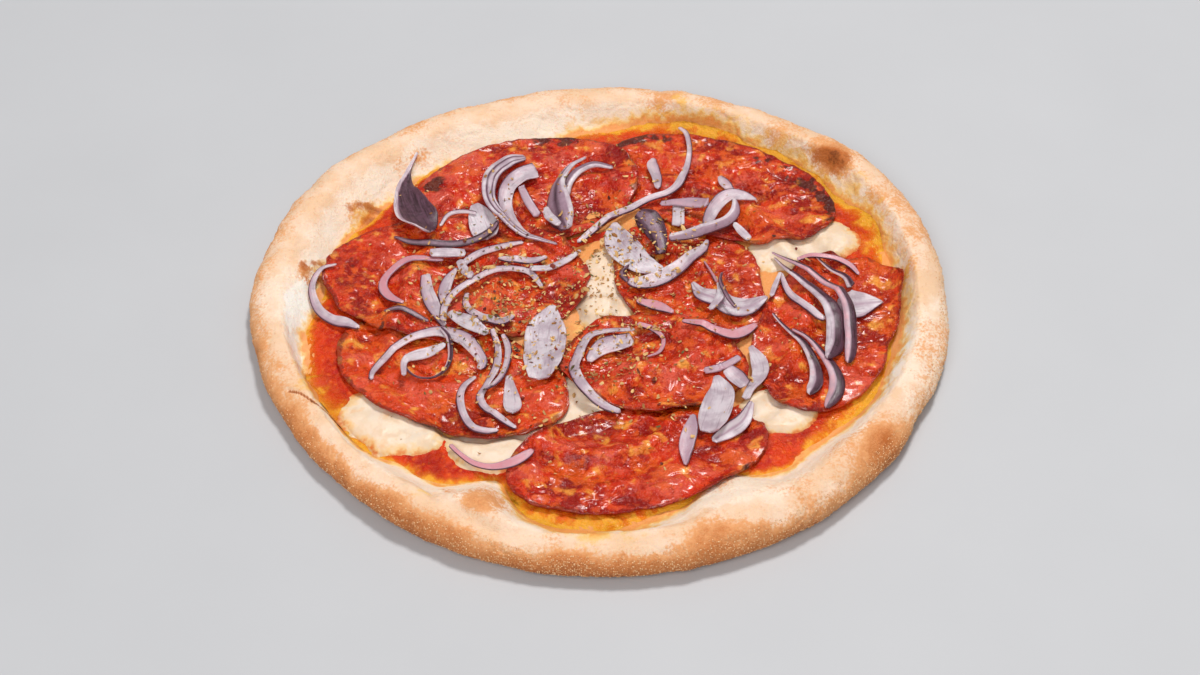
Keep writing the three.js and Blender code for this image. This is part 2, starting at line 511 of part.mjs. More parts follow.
// ---------------------------------------------------------------- the whole pizza
function pizza() {
  const relief = new Relief();
  const pieces = new Map();
  const finishes = new Map();
  const add = (name, finish, geometry) => {
    pieces.set(name, geometry);
    finishes.set(name, finish);
    relief.lay(geometry, name);
  };

  add("crust", "crust", crustGeometry());

  const puddle = (angle) => innerRadius(angle) + sauce.climb * (0.4 + 0.6 * wobble(4 * angle, 3));
  add("tomato_sauce", "sauce", layerGeometry(sauce, puddle, [0, 0], 1, relief));

  cheesePatches.forEach(({ at, half, turn }, i) => {
    const outline = unevenOval(half, turn, 0.09, i + 3);
    add(`mozzarella_${i + 1}`, "cheese", layerGeometry(cheese, outline, at, i, relief));
  });

  salamiSlices.forEach(({ at, half, turn, curl, curlAt }, i) => {
    const outline = unevenOval(half, turn, 0.025, i + 11);
    const lift = (angle) => {
      const facing = Math.cos(angle - THREE.MathUtils.degToRad(curlAt));
      return curl * (0.5 + 0.5 * facing);
    };
    add(`salami_${i + 1}`, "salami", layerGeometry(salami, outline, at, i, relief, lift));
  });

  onions.forEach((onion) => add(onion.name, "onion", onionGeometry(onion, relief)));

  strewHerbs(pieces, relief);

  const group = new THREE.Group();
  pieces.forEach((geometry, name) => {
    const colour = colours[finishes.get(name)];
    const roughness = name === "crust" ? 0.85 : 0.45;
    const mesh = new THREE.Mesh(
      geometry,
      new THREE.MeshStandardMaterial({ color: colour, roughness, metalness: 0 }),
    );
    mesh.name = name;
    group.add(mesh);
  });
  return group;
}

export default pizza();
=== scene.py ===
# %% [markdown]
# # A whole spicy salami pizza
# A thin round pizza is a stack of soft layers: a baked dough base with a puffed rim, a film of
# tomato sauce, melted mozzarella, thin oval salami slices and strips of red onion, with dried
# herbs on top. The imported model already holds each layer as a plain solid. This lesson remakes
# every layer as a fine surface worked out with numpy, in the same place and form, and gives it
# a finish made of shader nodes. The imported model is loaded first, because it is the frame that
# everything is placed in.

# %% Load the imported model
import itertools
import math

import bpy
import numpy as np
from mathutils import Matrix, Vector


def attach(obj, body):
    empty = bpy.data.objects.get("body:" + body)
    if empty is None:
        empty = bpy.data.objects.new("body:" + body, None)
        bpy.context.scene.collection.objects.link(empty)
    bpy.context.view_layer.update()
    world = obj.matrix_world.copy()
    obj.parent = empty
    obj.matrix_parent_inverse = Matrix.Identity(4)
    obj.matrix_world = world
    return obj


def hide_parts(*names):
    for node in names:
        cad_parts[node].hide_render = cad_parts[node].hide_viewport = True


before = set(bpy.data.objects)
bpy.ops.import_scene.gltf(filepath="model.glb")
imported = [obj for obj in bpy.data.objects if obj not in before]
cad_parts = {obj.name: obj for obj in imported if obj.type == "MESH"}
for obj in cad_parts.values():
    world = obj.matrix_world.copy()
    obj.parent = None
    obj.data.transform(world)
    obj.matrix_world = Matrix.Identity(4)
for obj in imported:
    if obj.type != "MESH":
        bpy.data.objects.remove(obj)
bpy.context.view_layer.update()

print("packed nodes:", len(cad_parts))

# %% [markdown]
# ## Camera
# The pizza is seen from the front, from about 46 degrees above the table, with a long lens, so
# its circle becomes an ellipse with little perspective. The camera could track an empty, but a
# matrix says the same in one line and keeps the slight roll of a hand-held shot. Depth of field
# stays off, so that every view is sharp. All sizes in this lesson are millimetres, and MM turns
# them into Blender's metres where a mesh or a position is made.

# %% Camera
MM = 0.001
CAMERA_PLACE = (0.34, -687.81, 708.91)
CAMERA_PITCH = 43.67  # degrees up from looking straight down
CAMERA_ROLL = -1.36
LENS, SENSOR_WIDTH = 70.0, 36.0


def add_camera():
    data = bpy.data.cameras.new("camera")
    data.lens, data.sensor_width = LENS, SENSOR_WIDTH
    data.clip_start, data.clip_end = 0.01, 20.0
    camera = bpy.data.objects.new("camera", data)
    bpy.context.scene.collection.objects.link(camera)
    place = Matrix.Translation([MM * value for value in CAMERA_PLACE])
    pitch = Matrix.Rotation(math.radians(CAMERA_PITCH), 4, "X")
    roll = Matrix.Rotation(math.radians(CAMERA_ROLL), 4, "Z")
    camera.matrix_world = place @ pitch @ roll
    bpy.context.scene.camera = camera
    return camera


print("camera:", add_camera().location)

# %% [markdown]
# ## Light
# Food is usually lit by a window behind and above it, which draws highlights on wet toppings,
# and by a wide fill from the front and pale surroundings, which soften the shadows. Area lights
# are chosen because their size sets how soft a shadow is. The Standard view keeps colours as
# bright as they are painted, where a film-like view would dull a high-key picture.

# %% Light
SKY = (0.97, 0.985, 1.0)
SKY_STRENGTH = 0.27
LAMP_COLOUR = (1.0, 0.985, 0.97)
LAMPS = [  # name, place in metres, width and power; each looks at the middle of the pizza
    ("soft_window", (0.4, 0.8, 2.0), 0.42, 30), ("front_fill", (-0.45, -1.45, 1.75), 1.8, 28),
]


def add_lamp(name, place, size, power):
    data = bpy.data.lights.new(name, "AREA")
    data.shape, data.size, data.energy, data.color = "DISK", size, power, LAMP_COLOUR
    lamp = bpy.data.objects.new(name, data)
    bpy.context.scene.collection.objects.link(lamp)
    turn = Vector(place).to_track_quat("Z", "Y").to_matrix().to_4x4()
    lamp.matrix_world = Matrix.Translation(place) @ turn


def add_sky():
    world = bpy.data.worlds.new("sky")
    bpy.context.scene.world = world
    world.use_nodes = True
    background = world.node_tree.nodes["Background"]
    background.inputs["Color"].default_value = (*SKY, 1)
    background.inputs["Strength"].default_value = SKY_STRENGTH


add_sky()
for lamp in LAMPS:
    add_lamp(*lamp)
bpy.context.scene.view_settings.view_transform = "Standard"
print("lights:", [lamp[0] for lamp in LAMPS])

# %% [markdown]
# ## Shader sums
# A shader is a sum of patterns. Wiring each Math node by hand hides the sum, so two small
# classes let it be written as Python. Value wraps one output of a node, and adding or
# multiplying Values adds Math nodes. Finish is one material: its node method makes any other
# node from its type, its settings and the values or links of its sockets.

# %% Shader sums
class Value:
    """One output socket of a node, for use in sums."""

    def __init__(self, finish, socket):
        self.finish, self.socket = finish, socket

    def math(self, operation, first, second):
        return self.finish.node("ShaderNodeMath", {"operation": operation}, {0: first, 1: second})

    def __add__(self, other): return self.math("ADD", self, other)
    def __radd__(self, other): return self.math("ADD", other, self)
    def __sub__(self, other): return self.math("SUBTRACT", self, other)
    def __rsub__(self, other): return self.math("SUBTRACT", other, self)
    def __mul__(self, other): return self.math("MULTIPLY", self, other)
    def __rmul__(self, other): return self.math("MULTIPLY", other, self)


def tint(red, green, blue):
    """The linear colour for display values from 0 to 255."""
    shares = [value / 255 for value in (red, green, blue)]
    return tuple(s / 12.92 if s < 0.04045 else ((s + 0.055) / 1.055) ** 2.4 for s in shares)


class Finish:
    """A material, and the nodes that its sums are made of."""

    def __init__(self, name):
        self.material = bpy.data.materials.new(name)
        self.material.use_nodes = True
        self.nodes = self.material.node_tree.nodes
        self.links = self.material.node_tree.links
        self.shader = self.nodes["Principled BSDF"]
        self.place = self.node("ShaderNodeTexCoord", output="Object")

    def node(self, kind, settings=None, sockets=None, output=0):
        """Adds a node. Settings come first, as they can change which sockets it has."""
        node = self.nodes.new(kind)
        for key, value in (settings or {}).items():
            setattr(node, key, value)
        for key, value in (sockets or {}).items():
            self.feed(node.inputs[key], value)
        return Value(self, node.outputs[output])

    def feed(self, socket, value):
        if isinstance(value, Value):
            self.links.new(value.socket, socket)
        elif isinstance(value, tuple) and socket.type == "RGBA" and len(value) == 3:
            socket.default_value = (*value, 1)
        else:
            socket.default_value = value

    def noise(self, size, detail=3, rough=0.55, bend=0.0, at=None):
        """Cloudy noise from 0 to 1, with features of about this size in mm."""
        sockets = {"Vector": at or self.place, "Scale": 1 / (size * MM), "Detail": detail}
        sockets.update({"Roughness": rough, "Distortion": bend})
        return self.node("ShaderNodeTexNoise", {}, sockets, "Fac")

    def cells(self, size):
        """Distance from the nearest of many scattered points, in cells of this size in mm."""
        sockets = {"Vector": self.place, "Scale": 1 / (size * MM)}
        return self.node("ShaderNodeTexVoronoi", {"feature": "SMOOTH_F1"}, sockets, "Distance")

    def grain(self, size, detail=3, at=None):
        """Noise with more contrast: mostly near 0 or near 1."""
        return self.step(self.noise(size, detail, at=at), 0.38, 0.62)

    def attributes(self, *names):
        """One Value for each field of the mesh that is named."""
        kind = "ShaderNodeAttribute"
        return [self.node(kind, {"attribute_name": name}, {}, "Fac") for name in names]

    def step(self, value, low, high):
        """0 below low, 1 above high, and a soft step between; swap them to turn it round."""
        sockets = {"Value": value, "From Min": low, "From Max": high}
        return self.node("ShaderNodeMapRange", {"interpolation_type": "SMOOTHSTEP"}, sockets)

    def mix(self, share, first, second):
        """The first colour where share is 0, the second where it is 1."""
        settings = {"data_type": "RGBA", "clamp_factor": True}
        return self.node("ShaderNodeMix", settings, {0: share, 6: first, 7: second}, 2)

    def over(self, colour, coat, value, low, high, strength=1.0):
        """The colour, with a coat over it where the value steps from low to high."""
        return self.mix(strength * self.step(value, low, high), colour, coat)

    def bump(self, height, depth, strength=1.0, under=None):
        """A normal bent by a height from 0 to 1 that stands for this depth in mm."""
        sockets = {"Height": height, "Distance": depth * MM, "Strength": strength}
        if under:
            sockets["Normal"] = under
        return self.node("ShaderNodeBump", {}, sockets)

    def set(self, **sockets):
        """Feeds the shader's own sockets: Base_Color=..., Roughness=..."""
        for name, value in sockets.items():
            self.feed(self.shader.inputs[name.replace("_", " ")], value)
        return self.material


# %% [markdown]
# ## Table
# The pizza stands alone on a plain pale table. One large square is enough, with a faint cloudy
# tone so that it isn't a dead flat grey. It isn't attached to the pizza, so it isn't part of the object.

# %% Table
TABLE_HALF = 6000  # mm


def table_finish():
    finish = Finish("pale_table")
    cloud = finish.noise(90, detail=4)
    colour = finish.mix(cloud, tint(189, 190, 193), tint(196, 197, 200))
    return finish.set(Base_Color=colour, Roughness=0.6)


def add_table():
    corners = [(-1, -1, 0), (1, -1, 0), (1, 1, 0), (-1, 1, 0)]
    mesh = bpy.data.meshes.new("table")
    points = [[TABLE_HALF * MM * value for value in corner] for corner in corners]
    mesh.from_pydata(points, [], [(0, 1, 2, 3)])
    table = bpy.data.objects.new("table", mesh)
    bpy.context.scene.collection.objects.link(table)
    mesh.materials.append(table_finish())
    return table


print("stage:", add_table().name)

# %% [markdown]
# ## Meshes from arrays
# Every piece here is a grid of points, worked out as whole arrays: rows of a profile, and
# columns that go round. A closed grid is a tube with a cap at each end, whether the tube is a
# flattened disc, as a slice is, or a long strip, as an onion shred is. Many tubes can share one
# mesh, which is how hundreds of flakes become one piece.

# %% Meshes from arrays
def tube_faces(rows, columns, first=0):
    """Index arrays of a closed tube: four-cornered sides, then a cap at each end."""
    row, column = np.mgrid[0:rows - 1, 0:columns]
    after = (column + 1) % columns
    corners = [row * columns + column, (row + 1) * columns + column]
    corners += [(row + 1) * columns + after, row * columns + after]
    sides = np.stack(corners, -1).reshape(-1, 4)
    caps = np.stack([np.arange(columns), (rows - 1) * columns + np.arange(columns)[::-1]])
    return [sides + first, caps + first]


def add_mesh(name, points, faces, finish, fields, smooth=True):
    """Puts points in mm and lists of corner numbers into a mesh object at the origin."""
    mesh = bpy.data.meshes.new(name)
    corners = np.concatenate([block.ravel() for block in faces]).astype(np.int32)
    sizes = np.concatenate([np.full(len(block), block.shape[1]) for block in faces])
    starts = np.concatenate([[0], np.cumsum(sizes)[:-1]]).astype(np.int32)
    mesh.vertices.add(len(points))
    mesh.vertices.foreach_set("co", (np.asarray(points) * MM).astype(np.float32).ravel())
    mesh.loops.add(len(corners))
    mesh.loops.foreach_set("vertex_index", corners)
    mesh.polygons.add(len(starts))
    mesh.polygons.foreach_set("loop_start", starts)
    mesh.update(calc_edges=True)
    mesh.polygons.foreach_set("use_smooth", np.full(len(starts), smooth))
    for key, values in fields.items():
        layer = mesh.attributes.new(key, "FLOAT", "POINT")
        layer.data.foreach_set("value", np.asarray(values, np.float32).ravel())
    mesh.materials.append(finish)
    piece = bpy.data.objects.new(name, mesh)
    bpy.context.scene.collection.objects.link(piece)
    return piece


def add_tube(name, points, finish, fields):
    """One closed tube from an array of rows, columns and coordinates."""
    rows, columns, _ = points.shape
    return add_mesh(name, points.reshape(-1, 3), tube_faces(rows, columns), finish, fields)


def settle_in(piece, slot, *nodes):
    """Lets a finished piece ride on the pizza and stand for its nodes; its slot is not used."""
    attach(piece, "root")
    if nodes:
        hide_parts(*nodes)


# %% [markdown]
# ## Uneven shapes
# Nothing on a pizza is a true circle. Swelling adds soft bell-shaped bumps round a circle, spots
# are such bumps on the flat, and wobble is a sum of sine waves round a circle. They are the same
# rules as in the solids, so the fine surfaces keep their form. Noise is random but smooth in
# space, and adds what is too small for the solids.

# %% Uneven shapes
LATTICE = 32  # random numbers along each side, before they repeat


def swelling(base, swells, angle):
    """base plus, for each (at, spread, by), by * exp(-(degrees apart / spread) ** 2)."""
    total = np.full_like(angle, base, dtype=float)
    for at, spread, by in swells:
        apart = (np.degrees(angle) - at + 180) % 360 - 180
        total += by * np.exp(-((apart / spread) ** 2))
    return total


def spots_at(x, y, spots):
    """The sum of by * exp(-(distance / radius) ** 2) over spots of x, y, radius and by."""
    return sum(by * np.exp(-(((x - sx) ** 2 + (y - sy) ** 2) / size ** 2)) for sx, sy, size, by in spots)


def wobble(angle, seed):
    """The sum of sin(lobes * angle + seed * lobes * 1.7) / lobes for 2 to 6 lobes."""
    return sum(np.sin(lobes * angle + seed * lobes * 1.7) / lobes for lobes in range(2, 7))


def polar(reach, angle, middle=(0, 0)):
    """x and y at this reach and angle from a middle."""
    return middle[0] + reach * np.cos(angle), middle[1] + reach * np.sin(angle)


def level(x, y, z=0):
    """Points of x and y, all at the same z."""
    return np.stack([x, y, 0 * x + z], -1)


def noise(points, size, seed):
    """Random numbers on a cubic lattice, blended between its corners by a smooth step."""
    lattice = np.random.default_rng(seed).uniform(-1, 1, (LATTICE,) * 3)
    scaled = np.asarray(points) / size
    cell = np.floor(scaled).astype(int)
    share = scaled - cell
    share = share * share * (3 - 2 * share)
    total = np.zeros(scaled.shape[:-1])
    for corner in itertools.product((0, 1), repeat=3):
        weight = np.prod(np.where(corner, share, 1 - share), axis=-1)
        total += weight * lattice[tuple(np.moveaxis((cell + corner) % LATTICE, -1, 0))]
    return total


def rough(points, size, seed, octaves=3):
    """Noise plus finer noise, each octave half the size and half the height."""
    return sum(noise(points, size / 2 ** k, seed + k) / 2 ** k for k in range(octaves))


def smooth_step(values, low, high):
    share = np.clip((values - low) / (high - low), 0, 1)
    return share * share * (3 - 2 * share)


print("noise of one point:", round(float(noise(np.array([[3.0, 4.0, 5.0]]), 8, 1)[0]), 3))

# %% [markdown]
# Creases in the dough and shreds of onion follow smooth paths. Each is drawn through a few
# corners by a Catmull-Rom curve, which passes through every corner, where a Bezier curve would
# need handles too.

# %% Smooth paths
CURVE_SAMPLES = 400
FEWEST_STEPS, MOST_STEPS = 24, 200
LEAST_WIDTH = 0.8  # mm


def smooth_path(corners, spacing):
    """A Catmull-Rom curve through corners of x, y and width, at even steps of its length."""
    corners = np.asarray(corners, float)
    before, beyond = 2 * corners[:1] - corners[1:2], 2 * corners[-1:] - corners[-2:-1]
    knots = np.concatenate([before, corners, beyond])
    t = np.linspace(0, len(corners) - 1, CURVE_SAMPLES)
    k = np.minimum(t.astype(int), len(corners) - 2)
    t = (t - k)[:, None]
    a, b, c, d = knots[k], knots[k + 1], knots[k + 2], knots[k + 3]
    square, cube = 2 * a - 5 * b + 4 * c - d, 3 * b - a - 3 * c + d
    curve = 0.5 * (2 * b + (c - a) * t + square * t ** 2 + cube * t ** 3)
    length = np.concatenate([[0], np.cumsum(np.hypot(*np.diff(curve[:, :2], axis=0).T))])
    steps = int(np.clip(length[-1] / spacing, FEWEST_STEPS, MOST_STEPS))
    even = np.linspace(0, length[-1], steps)
    x, y, width = (np.interp(even, length, curve[:, axis]) for axis in range(3))
    ahead = np.gradient(np.stack([x, y], -1), axis=0)
    ahead = ahead / np.linalg.norm(ahead, axis=1, keepdims=True)
    return x, y, np.maximum(width, LEAST_WIDTH), even, ahead


# %% [markdown]
# ## The lie of the land
# Each topping rests on those below it. A physics drape could find where, but it is slow and
# would move slices away from where they lie. A relief map is enough: a square grid with the
# highest point so far in each cell. A limp sheet is then the map, blurred again and again and
# lifted back onto what lies beneath, so it bridges dips and rides over edges.

# %% The lie of the land
MAP_HALF = 156  # mm from the middle to the edge of the map
MAP_STEP = 0.5  # mm between its cells
CLEARANCE = 0.3  # mm that a topping keeps from what lies below


def spread_peaks(field):
    """Each cell takes the highest of itself and its eight neighbours."""
    wide = np.maximum(np.maximum(field, np.roll(field, 1, 0)), np.roll(field, -1, 0))
    return np.maximum(np.maximum(wide, np.roll(wide, 1, 1)), np.roll(wide, -1, 1))


def blur(field, reach):
    """The mean over a square of cells, from running sums along each axis."""
    for axis in (0, 1):
        margins = [(reach + 1, reach) if k == axis else (0, 0) for k in (0, 1)]
        padded = np.pad(field, margins, "edge")
        sums = np.cumsum(padded, axis)
        width = 2 * reach + 1
        high = np.take(sums, np.arange(width, sums.shape[axis]), axis)
        low = np.take(sums, np.arange(0, sums.shape[axis] - width), axis)
        field = (high - low) / width
    return field


class Relief:
    """The height in mm of everything laid so far."""

    def __init__(self):
        self.size = int(2 * MAP_HALF / MAP_STEP) + 1
        self.top = np.zeros((self.size, self.size))
        line = np.linspace(-MAP_HALF, MAP_HALF, self.size)
        self.x, self.y = np.meshgrid(line, line)

    def read(self, field, x, y):
        """The field at any place, blended between the four cells round it."""
        column = np.clip((x + MAP_HALF) / MAP_STEP, 0, self.size - 1.001)
        row = np.clip((y + MAP_HALF) / MAP_STEP, 0, self.size - 1.001)
        left, low = column.astype(int), row.astype(int)
        across, up = column - left, row - low
        lower = field[low, left] * (1 - across) + field[low, left + 1] * across
        upper = field[low + 1, left] * (1 - across) + field[low + 1, left + 1] * across
        return lower * (1 - up) + upper * up

    def lay(self, points):
        """Raises the map to a piece's points, which lie closer together than two cells."""
        cells = np.rint((points[..., :2] + MAP_HALF) / MAP_STEP).astype(int)
        column, row = np.moveaxis(np.clip(cells, 0, self.size - 1), -1, 0)
        layer = np.zeros_like(self.top)
        np.maximum.at(layer, (row, column), points[..., 2])
        self.top = np.maximum(self.top, spread_peaks(layer))

    def drape(self, reach, rounds):
        """The height field of a limp sheet laid on the map."""
        support = spread_peaks(self.top) + CLEARANCE
        height = support
        for _ in range(rounds):
            height = np.maximum(support, blur(height, reach))
        return blur(height, 1)


def lay_tube(name, points, finish, fields, slot, node, rows=None):
    """Adds a tube that stands for a node, and raises the map to its upper rows."""
    settle_in(add_tube(name, points, finish, fields), slot, node)
    relief.lay(points[:rows])


relief = Relief()
print("relief map:", relief.top.shape)

# %% [markdown]
# ## The dough
# The base is one skin carried round the middle: flat under the sauce, up a soft slope to the
# top of the rim, round the outside as a quarter ellipse and in to the flat underside. Its radii
# and height swell and dip with the angle. Sculpting would do, but a formula keeps the solid's
# form exactly. Noise pushed along the skin's own normals then adds the puffs and wrinkles of
# baked dough, most of them on the rim.

# %% The dough's form
DOUGH_RADIUS, DOUGH_FLOOR, FOOT_RADIUS, RIM_HEIGHT = 143.7, 3.6, 115.5, 14.5
CREST_INSET, UNDERSIDE_INSET, BELT_SHARE = 12.0, 6.0, 0.45
OUTER_SWELLS = [  # how the outer edge swells: at, spread and by
    (0, 22, 2), (30, 22, 4.7), (60, 22, -1.2), (90, 22, -2.5), (120, 22, -1.5), (150, 22, 4.2),
    (178, 16, 3), (210, 22, -2.8), (240, 22, -3.8), (270, 22, -2.2), (-12, 9, 1.5), (185, 9, -1.2),
]
FOOT_SWELLS = [  # how the foot of the rim swells
    (10, 26, 12.5), (46, 14, 7), (68, 12, 6.5), (108, 13, -6.5), (162, 10, 2), (192, 14, 10.5),
    (216, 9, 4), (228, 6, -2), (245, 7.5, -16), (268, 9, 2), (296, 8, -16), (312, 9, -2),
    (334, 12, 3.5),
]
HEIGHT_SWELLS = [  # how the rim's height swells
    (28, 18, 1.5), (85, 25, -1.5), (150, 20, 1), (205, 14, -1), (244, 10, 1.5), (267, 8, -2),
    (298, 13, 2),
]
BLISTERS = [  # x, y, radius and height
    (-45, -109, 11, 3.6), (-75, -108, 9, 1.2), (52, -102, 10, 3), (38, -110, 9, 2.4),
    (90, -88, 14, 1.5), (108, 84, 9, 2), (-103, 60, 9, 2), (-124, 25, 7, 1.4), (132, 12, 14, 1.2),
]


def outer_radius(angle):
    return swelling(DOUGH_RADIUS, OUTER_SWELLS, angle) + 0.5 * wobble(3 * angle, 2)


def foot_radius(angle):
    return swelling(FOOT_RADIUS, FOOT_SWELLS, angle) + 0.8 * wobble(2 * angle, 5)


def crest_height(angle):
    return swelling(RIM_HEIGHT, HEIGHT_SWELLS, angle) + 0.4 * wobble(3 * angle, 9)


def dough_skin(way, angle):
    """way 0 to 1: the flat base. 1 to 2: a smooth step up to the crest. 2 to 3: a quarter
    ellipse out to the widest part. 3 to 4: a quarter ellipse in to the underside."""
    outer, foot, height = outer_radius(angle), foot_radius(angle), crest_height(angle)
    crest, belt = outer - CREST_INSET, BELT_SHARE * height
    slope, over, under = smooth_step(way, 1, 2), (way - 2) * np.pi / 2, (way - 3) * np.pi / 2
    radius = np.select(
        [way <= 1, way <= 2, way <= 3],
        [foot * way, foot + (crest - foot) * (way - 1), crest + CREST_INSET * np.sin(over)],
        outer - UNDERSIDE_INSET * (1 - np.cos(under)),
    )
    z = np.select(
        [way <= 2, way <= 3],
        [DOUGH_FLOOR + (height - DOUGH_FLOOR) * slope, belt + (height - belt) * np.cos(over)],
        belt * (1 - np.sin(under)),
    )
    x, y = polar(radius, angle)
    lift = spots_at(x, y, BLISTERS) * smooth_step(way, 1, 1.3) * np.clip(3 - way, 0, 1)
    return np.stack([x, y, z + lift], -1)


# %% [markdown]
# A normal is the cross product of the steps to the next row and the next column. The grid is
# closed round its columns, so rolling the array gives the neighbours there.

# %% The dough's fine surface
CREASES = [  # depth, half width and the corners of the pale grooves that baking left in the rim
    (0.3, 4.0, [(-106, -62), (-99, -80), (-89, -90), (-77, -94), (-67, -102)]),
    (1.3, 3.2, [
        (-68, -100), (-60, -112), (-50, -121), (-40, -126), (-28, -126), (-16, -121), (-6, -122),
    ]),
    (0.2, 4.5, [
        (114, -58), (102, -68), (91, -75), (82, -85), (74, -95), (66, -101), (56, -104),
    ]),
    (0.5, 4.5, [(10, -118), (24, -121), (36, -118), (46, -110), (56, -105)]),
    (0.3, 4.0, [(128, 20), (124, 40), (114, 62), (104, 74)]),
    (0.3, 5.0, [(-132, 18), (-122, 44), (-104, 76), (-82, 100), (-54, 118)]),
]
CRACK = [(-126, -49), (-121, -51), (-115, -56), (-109, -58), (-104, -63)]  # where a thin skin split
CRACK_DEPTH, CRACK_HALF = 0.8, 0.6
DOUGH_COLUMNS = 1300
DOUGH_TOP_ROWS = 70  # rows of the skin that toppings can rest on
PUFF, SMALL_PUFF, WRINKLE, GRAIN = 0.9, 0.25, 0.35, 0.12  # mm that each stands out or sinks in


def path_distance(x, y, corners):
    """The distance in mm from each place to the nearest point of a line through corners."""
    nearest = np.full(np.shape(x), 999.0)
    for (ax, ay), (bx, by) in zip(corners[:-1], corners[1:]):
        dx, dy = bx - ax, by - ay
        share = np.clip(((x - ax) * dx + (y - ay) * dy) / (dx ** 2 + dy ** 2), 0, 1)
        nearest = np.minimum(nearest, np.hypot(x - ax - share * dx, y - ay - share * dy))
    return nearest


def near_line(x, y, corners, half):
    """1 on a line through corners, fading away from it over a half width."""
    return np.exp(-((path_distance(x, y, corners) / half) ** 2))


def creases_at(x, y):
    """How deep the grooves are and how pale."""
    near = []
    for _, half, corners in CREASES:
        px, py = smooth_path([(*corner, 1) for corner in corners], 3)[:2]
        near.append(near_line(x, y, list(zip(px, py)), half))
    depth = CRACK_DEPTH * near_line(x, y, CRACK, CRACK_HALF)
    depth = depth + sum(groove * one for (groove, _, _), one in zip(CREASES, near))
    return depth, np.clip(sum(near), 0, 1)


def grid_normals(points):
    """Unit normals of a grid that is closed round its columns."""
    down = np.gradient(points, axis=0)
    round_ = np.roll(points, -1, 1) - np.roll(points, 1, 1)
    normal = np.cross(down, round_)
    return normal / np.maximum(np.linalg.norm(normal, axis=-1, keepdims=True), 1e-9)


def dough_points():
    """The skin from the middle out over the rim and in below, and the way of each row."""
    ways = [[0.03, 0.4, 0.7, 0.84], np.linspace(0.88, 1, 9), np.linspace(1.03, 2, 34)]
    ways = np.concatenate([*ways, np.linspace(2.04, 3, 26), np.linspace(3.08, 4, 13)])
    angle = np.linspace(0, 2 * np.pi, DOUGH_COLUMNS, endpoint=False)
    way, angle = np.meshgrid(ways, angle, indexing="ij")
    points = dough_skin(way, angle)
    on_rim = smooth_step(way, 0.95, 1.4) * (1 - smooth_step(way, 3.3, 3.95))
    puff = PUFF * rough(points, 21, 1) + SMALL_PUFF * rough(points, 7.5, 11)
    wrinkle = -WRINKLE * np.exp(-((rough(points, 14, 21) / 0.06) ** 2))
    grooves = -creases_at(points[..., 0], points[..., 1])[0] * (1 - smooth_step(way, 2.4, 2.9))
    grain = GRAIN * rough(points, 2.2, 31, 2) * (0.5 + smooth_step(way, 2.2, 3))
    fine = (puff + wrinkle + grooves + grain) * on_rim
    points = points + grid_normals(points) * fine[..., None]
    points[..., 2] = np.maximum(points[..., 2], 0)
    bottom = dough_skin(np.full(DOUGH_COLUMNS, 4.0), angle[0])
    under = [bottom * [share, share, 0] for share in (0.99, 0.9, 0.6, 0.3, 0.03)]
    return np.concatenate([points, under]), np.concatenate([ways, np.full(len(under), 4.0)])


dough, dough_ways = dough_points()
relief.lay(dough[:DOUGH_TOP_ROWS])
print("dough points:", dough.shape, "top of the rim:", round(float(dough[..., 2].max()), 1), "mm")

# %% [markdown]
# ## The outline of the sauce
# The sauce was spread to the foot of the rim and has crept up it a little, with an uneven edge.
# The same outline tells the dough where orange oil has soaked into it, so it comes before both
# finishes.

# %% The outline of the sauce
SAUCE_CLIMB = 3.5  # mm that the sauce has crept up the rim
OIL_SWELLS = [  # where most oil has soaked into the rim: at, spread and by
    (2, 12, 0.9), (24, 12, 0.9), (44, 12, 0.8), (64, 14, 1.1), (94, 14, 1.2), (150, 6, 0.9),
    (168, 5, 0.6), (178, 14, 0.25), (205, 14, 0.5), (254, 7, 1.5), (268, 11, 3.0), (286, 6, 1.2),
    (312, 8, 0.3), (334, 12, 0.9), (350, 14, 1.1),
]


def puddle_radius(angle):
    return foot_radius(angle) + SAUCE_CLIMB * (0.4 + 0.6 * wobble(4 * angle, 3))


# %% [markdown]
# ## Baked dough
# Baked dough is pale cream where it was thick and dusted with flour, golden where it bulged
# towards the heat, and spotted dark brown on its thinnest blisters. The bottom edge, which met the
# hot stone, is the brownest and carries coarse flour. These are masks from the way round the skin,
# from noise, and from a few spots at known places, kept on the mesh as attributes, and the shader
# blends colours by them. The creases stay pale. The flour mask also carries painted light: it is
# raised on the left inner slope and on the right outer face, so that they are painted pale as if
# lit.

# %% Baked dough
TOASTED_SWELLS = [  # how brown the outer face is: at, spread and by
    (120, 50, -0.05), (178, 20, -0.06), (215, 20, 0.3), (236, 14, 0.4), (266, 18, 0.56),
    (290, 12, 0.16), (312, 14, 0.02), (335, 12, -0.08), (355, 18, -0.36), (30, 24, -0.2),
]
TOASTED_PATCHES = [  # x, y, radius and strength
    (-45, -110, 10, 0.62), (-51, -112, 5, 0.25), (-61, -101, 4, 0.3), (-19, -129, 4, 0.4),
    (47, -98, 6, 0.5), (37, -128, 9, 0.3), (76, -110, 8, 0.35), (64, -106, 4, 0.3), (113, -83, 8, 0.5),
    (108, -90, 12, 0.35), (92, -94, 8, 0.15), (122, -34, 3, 0.4), (-104, 60, 8, 0.42),
    (-125, 22, 5, 0.55), (-88, 90, 4, 0.4), (-78, 96, 4, 0.4), (-83, 96, 4, 0.3), (-59, 113, 2, 0.5),
    (-81, 107, 8, 0.25), (104, 82, 9, 0.6), (113, 46, 6, 0.45), (118, 54, 5, 0.4), (82, 98, 10, 0.3),
    (31, 124, 8, 0.3), (56, 122, 9, 0.25), (131, 13, 5, 0.35), (122, 50, 12, 0.35), (104, 74, 10, 0.25),
    (134, 30, 8, 0.2), (100, 92, 8, 0.2), (94, -86, 5, 0.12), (-47, -127, 6, -0.4), (-128, -40, 9, 0.2),
    (-122, -58, 8, 0.3), (-10, 124, 10, 0.12), (-136, 40, 8, 0.2),
]
